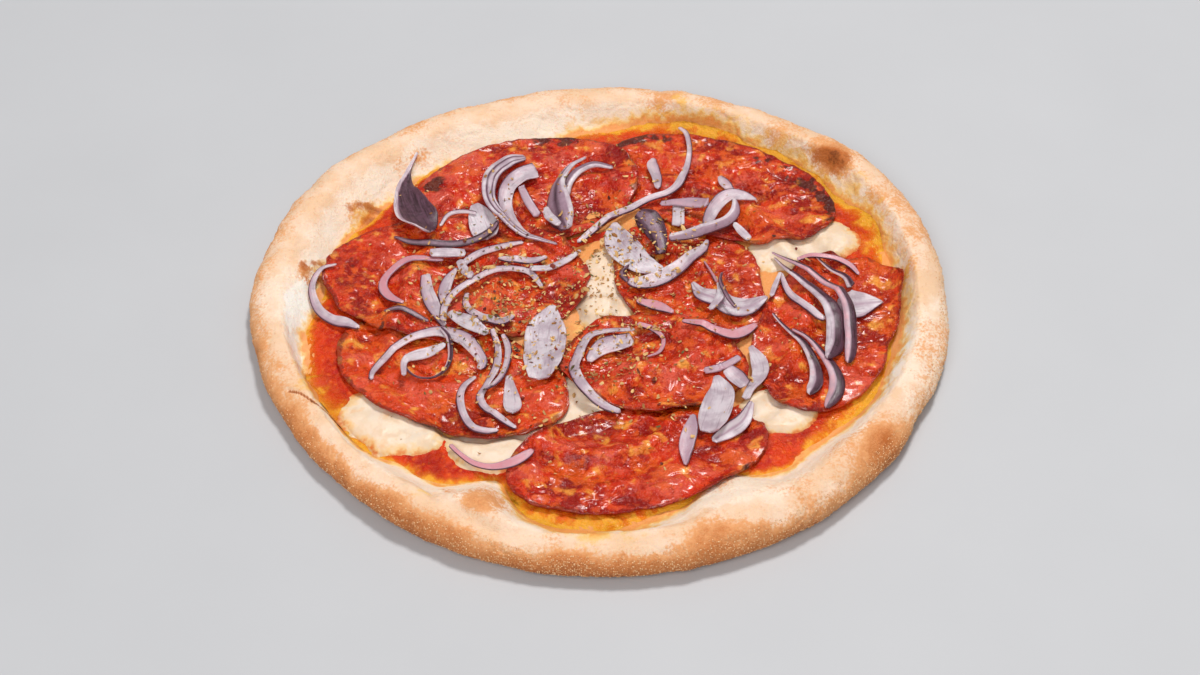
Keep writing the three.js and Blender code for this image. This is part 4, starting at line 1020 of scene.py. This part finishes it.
# %% The onions
ONIONS = {
    "petal": [
        ("white", 8, 0.14, 0, [
            (8, 51, 2), (8.5, 42, 10), (11.5, 33, 13), (17.5, 26, 11), (24, 23, 7), (28.5, 22.5, 2.5),
        ]),
        ("white", 4, 0.1, 0, [
            (-19, 2, 2), (-20.5, -4, 9), (-22, -12, 16), (-22.5, -24, 17.5), (-23.5, -33, 16),
            (-25, -43, 8),
        ]),
        ("white", 5, 0.16, 0, [(-37.5, -38, 2), (-36.5, -48, 5.5), (-35.5, -57, 7.5), (-35.5, -62, 5)]),
        ("streaked", 12, 0.1, 0, [(100, -3, 6), (106, -5, 13), (112, -4, 10), (119.5, -3, 1)]),
        ("streaked", -15, 0.14, 0, [(61, -57, 2), (57.5, -66, 6), (51, -73, 6.5), (44, -78.5, 3)]),
        ("white", 15, 0.12, 0, [
            (47.5, -41, 2), (49, -50, 10), (47, -60, 13), (45, -68, 13), (43, -76, 8),
        ]),
        ("lilac", 10, 0.12, 0, [(37, -66, 2), (35.5, -74, 6), (33.5, -82, 6), (33, -91, 1.5)]),
        ("white", 12, 0.12, 0, [(-53.5, 62, 3), (-51, 55, 10), (-48.5, 47, 13), (-47.5, 41, 9)]),
        ("line_left", -10, 0.16, 0, [(26.5, 92, 2), (25.5, 86, 5.5), (27, 78, 5), (27.5, 71, 2.5)]),
        ("skin", 15, -0.1, 0, [
            (18, 55, 5), (22, 50, 11), (25.5, 43, 10), (27.5, 36, 6), (27, 30.5, 4.5),
        ]),
        ("streaked", 15, 0.16, 0, [
            (40, 13, 1.5), (43.5, 5, 6), (49, 0.5, 8.5), (55, -3.5, 9), (62, -3, 8.5), (67.5, 0.5, 5),
            (71.5, 3.5, 1.5),
        ]),
        ("line_right", -15, 0.1, 0, [(14, -18.5, 6), (7, -21, 8), (0, -25, 7), (-5, -31, 3)]),
    ],
    "strip": [
        ("line_right", 10, 0.05, 0, [
            (-111.5, 27, 1.5), (-118, 24, 2.5), (-121.5, 14, 3), (-118.5, 3.5, 4), (-112.5, -3.5, 4.5),
            (-106.5, -6.5, 5), (-100, -10, 2),
        ]),
        ("pink", 5, 0.05, 0, [
            (-66, 30, 2), (-75, 29.5, 3), (-83, 29, 3.5), (-89.5, 22, 3.5), (-91.5, 15, 4),
            (-88.5, 8, 4), (-82, 1, 2),
        ]),
        ("line_right", 15, 0.05, 0, [
            (-55.5, 10, 2), (-56, 3, 3), (-53, -4.5, 3.5), (-47.5, -9, 3.5), (-41, -9, 3.5),
            (-35.5, -4, 2),
        ]),
        ("line_right", -10, 0.08, 0, [
            (-60.5, 27, 1.5), (-64, 18.5, 4.5), (-65.5, 10, 5), (-65, 1.5, 3),
        ]),
        ("line_right", 8, 0.08, 0, [
            (-73.5, 20.5, 4), (-72.5, 11, 6), (-69.5, 1, 6), (-64.5, -11, 2.5),
        ]),
        ("line_left", 10, 0.05, 0, [
            (-93.5, -41.5, 2), (-93, -36, 2.5), (-89, -29, 3), (-80, -19, 3.5), (-69.5, -14.5, 4.5),
            (-61, -16, 6), (-53.5, -21.5, 6), (-48.5, -29, 4.5), (-49, -34, 3.5),
        ]),
        ("white", 10, 0.08, 0, [(-63, -4, 3), (-57.5, -8.5, 6), (-52, -13.5, 6.5), (-46, -18.5, 3)]),
        ("skin_left", 30, 0, 0, [
            (-66, -13.5, 1.5), (-62.5, -19, 2.4), (-61.5, -27, 2.6), (-64.5, -35.5, 2.4),
            (-70, -40.5, 1.8), (-75.5, -40, 1.4), (-79.5, -35, 1.4), (-80, -31, 1),
        ]),
        ("line_right", 10, 0.05, 0, [
            (-44.5, -17, 2), (-42, -25, 3), (-42.5, -34, 3.4), (-46.5, -43, 3), (-49, -50, 3.4),
            (-46, -58, 3.4), (-40, -65, 3.2), (-34, -70, 2),
        ]),
        ("line_right", 10, 0.05, 0, [
            (-51, -38, 2), (-55.5, -43.5, 3), (-57, -51, 3.4), (-55.5, -60, 3.2), (-51.5, -68, 3.2),
            (-46, -71, 3), (-41, -71, 2),
        ]),
        ("pink", 10, 0.05, 0, [
            (-60.5, -76, 2), (-56.5, -81, 2), (-50.5, -86, 2.5), (-43.5, -88.5, 3), (-36, -88, 4),
            (-30.5, -85, 4), (-27, -82, 2),
        ]),
        ("line_left", 15, 0.05, 0, [
            (-59, 27.5, 2.5), (-55.5, 31.5, 3.5), (-50, 34.5, 3.5), (-43, 35.5, 3.2),
            (-31.5, 36.5, 1.5),
        ]),
        ("pink", 10, 0.05, 0, [
            (34.5, -12.5, 1.5), (41, -15, 3), (48, -18.5, 4), (55, -19.5, 5), (61, -16.5, 4.5),
            (66, -12.5, 2),
        ]),
        ("white", 10, 0.12, 0, [
            (62.5, -24, 2), (65.5, -34, 7), (65, -43, 6), (61, -50, 4), (58.5, -56, 3.5),
        ]),
        ("skin_left", 10, 0.06, 0, [
            (73, -5, 1), (80, -19.5, 2), (85.5, -28, 3.5), (88, -37, 4.5), (88, -46, 6), (86.5, -51, 6),
            (84.5, -55, 2.5),
        ]),
        ("line_right", 10, 0.05, 0, [
            (78, 19, 2), (80.5, 6, 3.2), (85, -2.5, 3.5), (91, -9.5, 3.5), (94.5, -12, 2.5),
        ]),
        ("white", 8, 0.08, 0, [(36.5, 64, 5.5), (36, 56, 5.5), (35.5, 47, 5.5)]),
        ("line_right", -12, 0.1, 1, [
            (-26, 84, 8.5), (-33, 81, 8), (-38, 74, 7.5), (-40, 65, 6.5), (-38, 56, 5), (-34, 48, 3.5),
            (-29, 42.5, 2),
        ]),
        ("skin_right", -10, -0.05, 1, [
            (8, 83, 2), (0, 86, 3.5), (-7, 82, 4), (-12, 75, 4.5), (-13.5, 68, 4),
        ]),
        ("line_left", -10, 0.08, 0, [
            (48, 38.5, 1.5), (45, 31, 4.5), (39, 25, 6), (32, 19.5, 6.5), (24, 14.5, 7), (17, 12.5, 6),
            (12.5, 13.5, 3),
        ]),
        ("line_right", 15, 0.05, 0, [
            (15, -15, 2), (4, -15.5, 3), (-5, -19, 4), (-9, -30, 4.5), (-10.5, -40, 5),
            (-6.5, -50, 4.5), (0, -56.5, 4), (8, -60, 2.5),
        ]),
    ],
    "skin": [
        ("skin", 30, 0, 0, [
            (-88, 43, 1), (-80, 40, 2.6), (-66, 38.5, 3.2), (-54, 39.5, 3.2), (-46, 43, 3),
            (-42.5, 49, 1.6),
        ]),
        ("skin_rim_right", -18, 0.14, 0, [
            (-79.5, 96, 1), (-83.5, 86, 2.5), (-84, 76, 8), (-81.5, 64, 15), (-78, 53, 18),
            (-74.5, 46, 13), (-72, 42.5, 6),
        ]),
        ("skin_rim_left", 20, -0.14, 1, [
            (-4, 90, 1.5), (-11, 83, 3), (-16, 73, 5.5), (-17, 62, 12), (-15.5, 52, 12), (-13, 43, 5),
        ]),
    ],
    "arc": [
        ("nest", -10, 0, 2, [
            (-31, 92, 3), (-39, 88, 7), (-45, 79, 7), (-47, 68, 6), (-45.5, 58, 5), (-39.5, 48, 4),
            (-31, 40.5, 3), (-17, 36, 1.5),
        ]),
        ("line_left", -10, 0.05, 2, [
            (38.5, 112, 2), (41.5, 106, 2.4), (42.5, 94, 2.4), (40.5, 82, 3), (37, 72.5, 4),
            (32, 68, 3.5), (25, 65.5, 3.2), (17.5, 61.5, 3.5), (10, 56, 3.8), (3.5, 50.5, 3.2),
            (-4, 43.5, 3), (-8.5, 39.5, 2),
        ]),
        ("line_right", -15, 0.08, 2, [
            (70.5, 60.5, 1), (64.5, 62, 5), (58, 62, 6.5), (52, 57, 6), (48.5, 50, 5), (47.5, 45, 3),
        ]),
        ("lilac_rim_right", -20, -0.06, 2, [
            (60.5, 59, 1.5), (60.5, 53, 4.5), (56, 47, 5), (49, 42.5, 5), (41, 39.5, 5), (31, 38, 3.5),
        ]),
        ("line_left", 15, 0.05, 2, [
            (-65, -11, 3), (-64.5, -3, 3.2), (-61, 6.5, 3), (-54.5, 13, 3), (-46, 18, 3),
            (-35.5, 21.5, 3), (-28.5, 21, 3), (-23.5, 14, 2),
        ]),
        ("nest_left", -10, -0.06, 1, [
            (80, -19, 1.5), (87, -26, 2.5), (93, -37, 4.5), (96, -46, 6), (95.5, -53, 6.5),
            (93, -58, 5.5), (90.5, -62, 2),
        ]),
        ("dark_left", -10, -0.08, 1, [
            (76, 28, 1), (84, 13, 3), (93.5, 0, 5), (98, -12, 7.5), (97.5, -26, 8), (95.5, -33, 6.5),
            (93, -38, 2.5),
        ]),
        ("nest_left", -15, -0.08, 2, [
            (75, 30, 1), (87, 17.5, 3), (98, 5, 4.5), (103.5, -8, 5), (104, -22, 5.5), (103, -33, 5),
            (101.5, -38.5, 2),
        ]),
    ],
}
LOOKS = {  # left line, right line, pink, and the bands from the left edge to the right
    "white": (0.25, 0, 0.1, [0.05, 0, 0.15, 0]), "pink": (0.3, 0.7, 0.75, [0.2, 0, 0, 0.3]),
    "lilac": (0.4, 0.2, 0.5, [0.4, 0.3]), "streaked": (0.3, 0.9, 0, [0.1, 0, 0.45, 0.1, 0.45]),
    "line_left": (1, 0, 0.3, [0.5, 0.3, 0, 0]), "line_right": (0, 1, 0.3, [0, 0, 0.3, 0.5]),
    "skin": (0.8, 0.8, 0, [0.9, 0.6, 0.9]), "skin_left": (1, 0, 0.3, [1, 1, 0.7, 0, 0]),
    "skin_right": (0, 1, 0.1, [0, 0, 0.7, 0.6, 0.9]),
    "skin_rim_left": (-1, 0.5, 0.1, [0.8, 0.5, 0.8, 0.5, 0.8]),
    "skin_rim_right": (0.5, -1, 0.1, [0.9, 1, 0.8]), "lilac_rim_right": (0.3, -1, 0.2, [0.5]),
    "nest_left": (1, 0.3, 0.6, [1, 1, 0.9, 0.1, 0]), "dark_left": (0.8, 0, 0, [0.85, 0.8, 1, 0.1, 0]),
    "nest": (0.7, 0.4, 0.1, [0, 0, 0.9, 0.2, 0.3, 0.9, 0.1, 0.1, 0]),
}
ONION_THICK = 1.35  # mm
SECTION_POINTS, PATH_SPACING = 28, 0.7  # points round the section, mm between sections
ONION_EASING = (14, 9)  # rounds, and steps of the path in each mean


# %% [markdown]
# The section is a flattened circle of points. For each step along the path the map is read
# under the whole section, and the strip is lifted just clear of the highest contact. Those
# lifts are then eased along the strip, as a stiff shred bridges small dips.

# %% One strip of onion
def onion_points(corners, stand, cup, hop, seed):
    """A flattened circle, (cos, sin) raised to powers below 1, carried along the path."""
    x, y, width, even, ahead = (part[:, None] for part in smooth_path(corners, PATH_SPACING))
    from_end = np.minimum(even - even[0], even[-1] - even)
    blunt = np.sqrt(np.clip(1 - (1 - np.clip(from_end / 0.9, 0, 1)) ** 2, 0.02, 1))
    turn = -np.linspace(0, 2 * np.pi, SECTION_POINTS, endpoint=False) - np.pi / 2
    across = np.sign(np.cos(turn)) * np.abs(np.cos(turn)) ** 0.8 / 2
    through = np.sign(np.sin(turn)) * np.abs(np.sin(turn)) ** 0.7 / 2
    line = level(even, 0 * even + 9 * seed)
    tilt = math.radians(stand) + 0.22 * noise(line, 14, 71)
    wide = across * width * blunt * (1 + 0.05 * noise(line, 9, 73))
    depth = ONION_THICK * (0.25 + 0.75 * np.minimum(1, width / 4)) * blunt
    ripple = 0.1 * np.minimum(width, 6) * noise(level(even + 0 * wide, wide, 9 * seed), 6, 75)
    deep = through * depth + cup * width * (4 * across ** 2 - 0.5) + ripple * blunt
    out = wide * np.cos(tilt) - deep * np.sin(tilt)
    px, py = x - ahead[:, 0, 1:] * out, y + ahead[:, 0, :1] * out
    z = wide * np.sin(tilt) + deep * np.cos(tilt)
    lift = need = (relief.read(spread_peaks(relief.top), px, py) + CLEARANCE - z).max(1)
    rounds, steps = ONION_EASING
    for _ in range(rounds):
        eased = np.convolve(np.pad(lift, steps // 2, "edge"), np.ones(steps) / steps, "valid")
        lift = np.maximum(need, eased)
    arch = hop * np.sin(np.pi * even[:, 0] / even[-1, 0])
    points = np.stack([px, py, z + (lift + arch)[:, None]], -1)
    fields = {"along": even, "across": across * width, "width": width, "face": 2 * through}
    return points, {key: values + 0 * z for key, values in fields.items()}


# %% [markdown]
# The finish reads attributes: the place along and across the shred, how much skin shows there,
# and how pink it is. A shell has fine veins along its length, so the veins are noise stretched
# along the shred. Its flesh is watery and lets light through, so it has a little subsurface
# and a smooth wet surface.

# %% The onion's finish
def onion_fields(fields, look):
    """How much skin shows at each point: a line along each edge, and bands between them."""
    left, right, pink, bands = LOOKS[look]
    across, width = fields["across"], fields["width"]
    upper = smooth_step(fields["face"], -0.3, 0.4)
    from_sides = [width / 2 - side * across for side in (1, -1)]
    left_line, right_line = (1 - smooth_step(inward, 0.15, 0.5) for inward in from_sides)
    left_rim, right_rim = (1 - smooth_step(inward, 1.2, 1.9) for inward in from_sides)
    at = np.clip(0.5 - across / width, 0, 1) * (len(bands) - 1)
    below = np.minimum(at.astype(int), max(len(bands) - 2, 0))
    step = smooth_step(at - below, 0.25, 0.75)
    bands = np.asarray([*bands, bands[-1]])
    skin = (bands[below] * (1 - step) + bands[below + 1] * step) * upper
    skin = skin * (1 - max(-left, 0) * left_rim) * (1 - max(-right, 0) * right_rim)
    skin = skin + max(left, 0) * left_line + max(right, 0) * right_line
    shown = {"skin": np.clip(skin, 0, 1.2), "pink": 0 * skin + pink}
    return {"along": fields["along"], "across": across, **shown}


def onion_finish():
    finish = Finish("red_onion")
    skin, pink, along, across = finish.attributes("skin", "pink", "along", "across")
    strip = finish.node("ShaderNodeCombineXYZ", {}, {0: along * (0.06 * MM), 1: across * MM})
    vein, cloud = finish.noise(0.8, 2, at=strip), finish.noise(7, 3)
    mottle, speck = finish.noise(1.6, 3), finish.grain(0.45, 2)
    streak, blotch = vein - 0.5, mottle - 0.5
    flesh = finish.over(tint(180, 162, 172), tint(214, 202, 208), cloud + 0.15 * streak, 0.34, 0.62)
    flesh = finish.over(flesh, tint(140, 112, 128), vein, 0.46, 0.3, 0.45)
    blush = cloud + 0.4 * blotch + pink
    flesh = finish.over(flesh, tint(208, 124, 136), blush, 0.7, 1.4, 0.8)
    purple = finish.over(tint(52, 20, 32), tint(96, 60, 78), vein + 0.4 * blotch, 0.3, 0.7)
    colour = finish.over(flesh, tint(170, 140, 156), skin + 0.3 * streak, 0.1, 0.5)
    colour = finish.over(colour, purple, skin + 0.2 * blotch, 0.4, 0.85)
    bump = finish.bump(vein, 0.1, 0.3, finish.bump(speck, 0.1, 0.4))
    finish.set(Subsurface_Weight=0.5, Subsurface_Scale=0.003, Subsurface_Radius=(1.0, 0.7, 0.8))
    return finish.set(Base_Color=colour, Roughness=0.22 + 0.2 * mottle, Normal=bump)


onion = onion_finish()
seeds = itertools.count()
for kind, cuts in ONIONS.items():
    for number, (look, *shape, corners) in enumerate(cuts):
        node = f"onion_{kind}_{number + 1}"
        points, fields = onion_points(corners, *shape, next(seeds))
        lay_tube(f"{node}_cut", points, onion, onion_fields(fields, look), "onion", node)
print("onions:", next(seeds), "highest:", round(float(relief.top.max()), 1), "mm")

# %% [markdown]
# ## Thin onion slivers
# The thinnest shreds are too small to have solids of their own. They are made by the same
# function, and joined into one mesh, because they are one kind of thing.

# %% Thin onion slivers
SLIVERS = [  # look, stand, and the corners of the path with their widths
    ("line_left", 20, [(-68, 47, 1.5), (-64.5, 54.5, 2), (-59, 56.5, 2), (-52, 55, 1.5)]),
    ("white", 8, [(-72, 31.5, 4), (-64.5, 33, 5), (-56.5, 33.5, 4)]),
    ("white", 15, [(-59.5, 29.5, 3), (-56.5, 21.5, 4), (-53.5, 14, 3)]),
    ("line_right", 15, [(-42.5, 28, 2), (-35.5, 25.5, 3.5), (-28.5, 26.5, 3.5), (-21.5, 31, 2)]),
    ("white", 15, [(-29, 21.5, 3), (-20, 24, 3.2), (-13, 29.5, 3), (-7, 36, 1.5)]),
    ("lilac", 15, [(-33, 72, 3), (-30, 65, 4), (-25.5, 57, 4)]),
    ("white", 15, [(-22, 58, 2), (-20.5, 51, 4), (-16, 43.5, 3)]),
    ("line_left", 15, [(55, 79, 2), (57, 74, 4.5), (60, 67, 3)]),
    ("lilac", 10, [(28, 61.5, 2.5), (35, 61, 4), (42, 59.5, 6), (49, 56.5, 5)]),
    ("white", 10, [(59.5, 46, 2), (62.5, 42.5, 3.5), (66, 37.5, 3)]),
    ("pink", 40, [(45.5, 24, 0.8), (48, 18, 1), (50.5, 11, 1.5)]),
    ("white", 15, [(51, 7, 2), (51.5, 0, 4), (46.5, -8, 2.5)]),
    ("skin", 40, [(52.5, 12, 1.5), (51.5, 5, 2), (53.5, -2, 2), (57.5, -8, 1.5)]),
    ("pink", 5, [(16, 3.5, 2.5), (24, 0, 5), (31.5, -5.5, 2)]),
    ("skin_left", 20, [(93, 28, 0.8), (99, 19.5, 1.6), (104.5, 13, 2.6), (107, 5.5, 4)]),
    ("pink", 5, [(85, 20, 2), (92, 25, 2.5), (101, 24.5, 2.5), (107.5, 20, 2.5), (111, 14, 1.5)]),
    ("line_left", 10, [(52, -39, 5), (55.5, -44, 7), (59, -50, 5)]),
    ("white", 10, [
        (-80, -41, 2), (-80, -33, 3), (-76, -28.5, 4.5), (-70, -25.5, 4.5), (-63.5, -22.5, 2),
    ]),
    ("line_left", 15, [
        (-40, -17, 2), (-37.5, -26, 3), (-38.5, -36, 3), (-43, -44, 2.6), (-48, -47, 1.5),
    ]),
    ("pink", 20, [(16, -10.5, 2.5), (22, -13.5, 2.4), (26.5, -19, 2), (25, -26, 2), (19.5, -29.5, 1)]),
    ("skin", 5, [(-90, -4, 1), (-83, -2.5, 2.5), (-76, -5.5, 2.5), (-71, -8.5, 1.5)]),
    ("skin", 30, [(13.5, 23.5, 1.5), (10.5, 18, 3), (12.5, 12, 2)]),
    ("lilac", 10, [(42.5, -37.5, 3), (50, -36, 3.5), (58, -30, 3)]),
    ("white", 5, [(78, 18, 1.5), (75, 10, 2.5), (73, 3, 2)]),
]
SLIVER_CUP, FIRST_SLIVER_SEED = 0.05, 100


def join_tubes(tubes):
    """Points, faces and fields of many closed tubes with equal columns, as one mesh."""
    points, faces, fields, first = [], [], [], 0
    for grid, own in tubes:
        rows, columns, _ = grid.shape
        faces.append(tube_faces(rows, columns, first))
        points.append(grid.reshape(-1, 3))
        fields.append(own)
        first += rows * columns
    merged = {key: np.concatenate([np.ravel(own[key]) for own in fields]) for key in fields[0]}
    return np.concatenate(points), [np.concatenate(block) for block in zip(*faces)], merged


tubes = []
for seed, (look, stand, corners) in enumerate(SLIVERS):
    grid, fields = onion_points(corners, stand, SLIVER_CUP, 0, FIRST_SLIVER_SEED + seed)
    tubes.append((grid, onion_fields(fields, look)))
    relief.lay(grid)
points, faces, fields = join_tubes(tubes)
settle_in(add_mesh("onion_slivers", points, faces, onion, fields), "onion")
print("slivers:", len(SLIVERS), "points:", len(points))

# %% [markdown]
# ## Dried herbs
# Oregano and crushed chili lie thickest over the middle. One flake is a tiny bent lozenge with
# a dozen faces. Particles would scatter them, but joined arrays give real meshes that can be
# exported. Every flake is turned at random, from seeded numbers, and set on the relief map.

# %% Dried herbs
PINCHES = [  # x, y, spread in mm and share of each pinch of herbs
    (-4, 6, 40, 0.4), (-44, 10, 15, 0.18), (14, 34, 17, 0.2), (-42, -22, 16, 0.12), (6, -28, 17, 0.1),
]
HERB_LIMIT = 112  # mm from the middle that no flake lies beyond
HERBS = [  # name, count, half length, half width, half thickness, dark and light tone
    ("oregano_flakes", 1700, 0.8, 0.42, 0.2, tint(150, 92, 34), tint(240, 198, 130)),
    ("green_herb_flakes", 150, 0.75, 0.38, 0.15, tint(66, 58, 24), tint(140, 120, 50)),
    ("chili_flakes", 110, 0.8, 0.5, 0.2, tint(60, 20, 12), tint(146, 44, 22)),
]
FLAKE_SIDES = 6


def scatter_places(random, count, limit):
    """Places drawn from a bell curve round each pinch, none beyond the limit."""
    x, y, spread, share = np.array(PINCHES).T
    pinch = random.choice(len(PINCHES), 2 * count, p=share)
    places = random.normal(np.stack([x, y], -1)[pinch], spread[pinch][:, None])
    return places[np.hypot(*places.T) < limit][:count]


def flakes(random, places, length, width, thick):
    """Bent lozenges: six points round, a raised middle above and a flat one below."""
    count = len(places)
    angle = np.linspace(0, 2 * np.pi, FLAKE_SIDES, endpoint=False)
    size = random.lognormal(0, 0.35, (count, 1))
    long_, wide = length * size, width * size * random.uniform(0.6, 1.3, (count, 1))
    ragged = random.uniform(0.7, 1.2, (count, FLAKE_SIDES))
    x, y = long_ * np.cos(angle) * ragged, wide * np.sin(angle) * ragged
    bend = random.uniform(-0.25, 0.6, (count, 1)) * x ** 2 / long_
    ring = np.stack([x, y, bend], -1)
    middle = np.stack([0 * size, 0 * size, thick * size], -1)
    solid = np.concatenate([ring, middle, -0.6 * middle], 1)
    tilt, heading = random.normal(0, 0.45, (2, count)), random.uniform(0, 2 * np.pi, count)
    solid = np.einsum("nij,nkj->nki", turned(heading, tilt), solid)
    ground = relief.read(relief.top, *places.T) + 0.25 * thick - 0.35 * solid[..., 2].min(1)
    return solid + np.stack([*places.T, ground], -1)[:, None]


def turned(heading, tilt):
    """Rotation matrices: a tilt about each level axis, then a heading about the upright one."""
    (cx, cy), (sx, sy) = np.cos(tilt), np.sin(tilt)
    c, s, one, zero = np.cos(heading), np.sin(heading), np.ones_like(cx), np.zeros_like(cx)
    about_x = np.stack([one, zero, zero, zero, cx, -sx, zero, sx, cx], -1).reshape(-1, 3, 3)
    about_y = np.stack([cy, zero, sy, zero, one, zero, -sy, zero, cy], -1).reshape(-1, 3, 3)
    about_z = np.stack([c, -s, zero, s, c, zero, zero, zero, one], -1).reshape(-1, 3, 3)
    return about_z @ about_y @ about_x


def add_flakes(name, solids, random, finish):
    """One faceted mesh of many flakes of eight points, each flake with its own tone."""
    ring = np.arange(FLAKE_SIDES)
    after = (ring + 1) % FLAKE_SIDES
    top, bottom = np.full_like(ring, FLAKE_SIDES), np.full_like(ring, FLAKE_SIDES + 1)
    one = np.concatenate([np.stack([ring, after, top], -1), np.stack([after, ring, bottom], -1)])
    count, size, _ = solids.shape
    faces = (one[None] + size * np.arange(count)[:, None, None]).reshape(-1, 3)
    tone = np.repeat(random.uniform(0, 1, count), size)
    return add_mesh(name, solids.reshape(-1, 3), [faces], finish, {"tone": tone}, smooth=False)


def flake_finish(name, dark, light):
    finish = Finish(name)
    tone, = finish.attributes("tone")
    speck = finish.noise(0.5, 2)
    colour = finish.mix(tone + 0.5 * (speck - 0.5), dark, light)
    return finish.set(Base_Color=colour, Roughness=0.7)


random = np.random.default_rng(7)
for name, count, length, width, thick, dark, light in HERBS:
    places = scatter_places(random, count, HERB_LIMIT)
    solids = flakes(random, places, length, width, thick)
    settle_in(add_flakes(name, solids, random, flake_finish(name, dark, light)), "onion")
    print(name, len(places))

# %% [markdown]
# ## Coarse flour
# The dough was stretched on coarse flour, and its grains have toasted onto the outer face of
# the rim. They are the same small solids, set along the skin's own points where it is browned.

# %% Coarse flour
FLOUR_GRAINS = 4600
GRAIN_HALF, GRAIN_TALL = 0.3, 0.9  # half width in mm, and half height as a share of it
GRAIN_ROUGH = 0.06  # mm that its points are moved
FLOUR_WAYS = (2.45, 3.7)  # the part of the skin, from the outer face to the underside
FLOUR_SIDE = math.radians(300)  # where it is thickest


def flour_places(random, count):
    """Random places on the outer face of the rim, more of them at the front right."""
    rows = np.flatnonzero((dough_ways > FLOUR_WAYS[0]) & (dough_ways < FLOUR_WAYS[1]))
    columns = random.integers(0, DOUGH_COLUMNS, 4 * count)
    angle = 2 * np.pi * columns / DOUGH_COLUMNS
    wanted = 0.15 + 0.85 * smooth_step(np.cos(angle - FLOUR_SIDE), -0.1, 0.8)
    columns = columns[random.uniform(0, 1, len(columns)) < wanted][:count]
    return dough[random.choice(rows, len(columns)), columns]


def grains_at(random, places):
    """Six points round and one at each end, each point moved a little."""
    moved = random.normal(0, GRAIN_ROUGH, (len(places), FLAKE_SIDES + 2, 3))
    ring = level(*polar(1, np.arange(FLAKE_SIDES) * 2 * np.pi / FLAKE_SIDES))
    grain = np.concatenate([ring, [[0, 0, GRAIN_TALL], [0, 0, -GRAIN_TALL]]]) * GRAIN_HALF
    grains = moved + grain + places[:, None]
    grains[..., 2] = np.maximum(grains[..., 2], 0.02)
    return grains


def flour_finish():
    finish = Finish("toasted_coarse_flour")
    tone, = finish.attributes("tone")
    colour = finish.mix(tone, tint(212, 148, 92), tint(246, 212, 164))
    return finish.set(Base_Color=colour, Roughness=0.6)


places = flour_places(random, FLOUR_GRAINS)
grains = grains_at(random, places)
settle_in(add_flakes("coarse_flour", grains, random, flour_finish()), "crust")
print("grains of flour:", len(places))
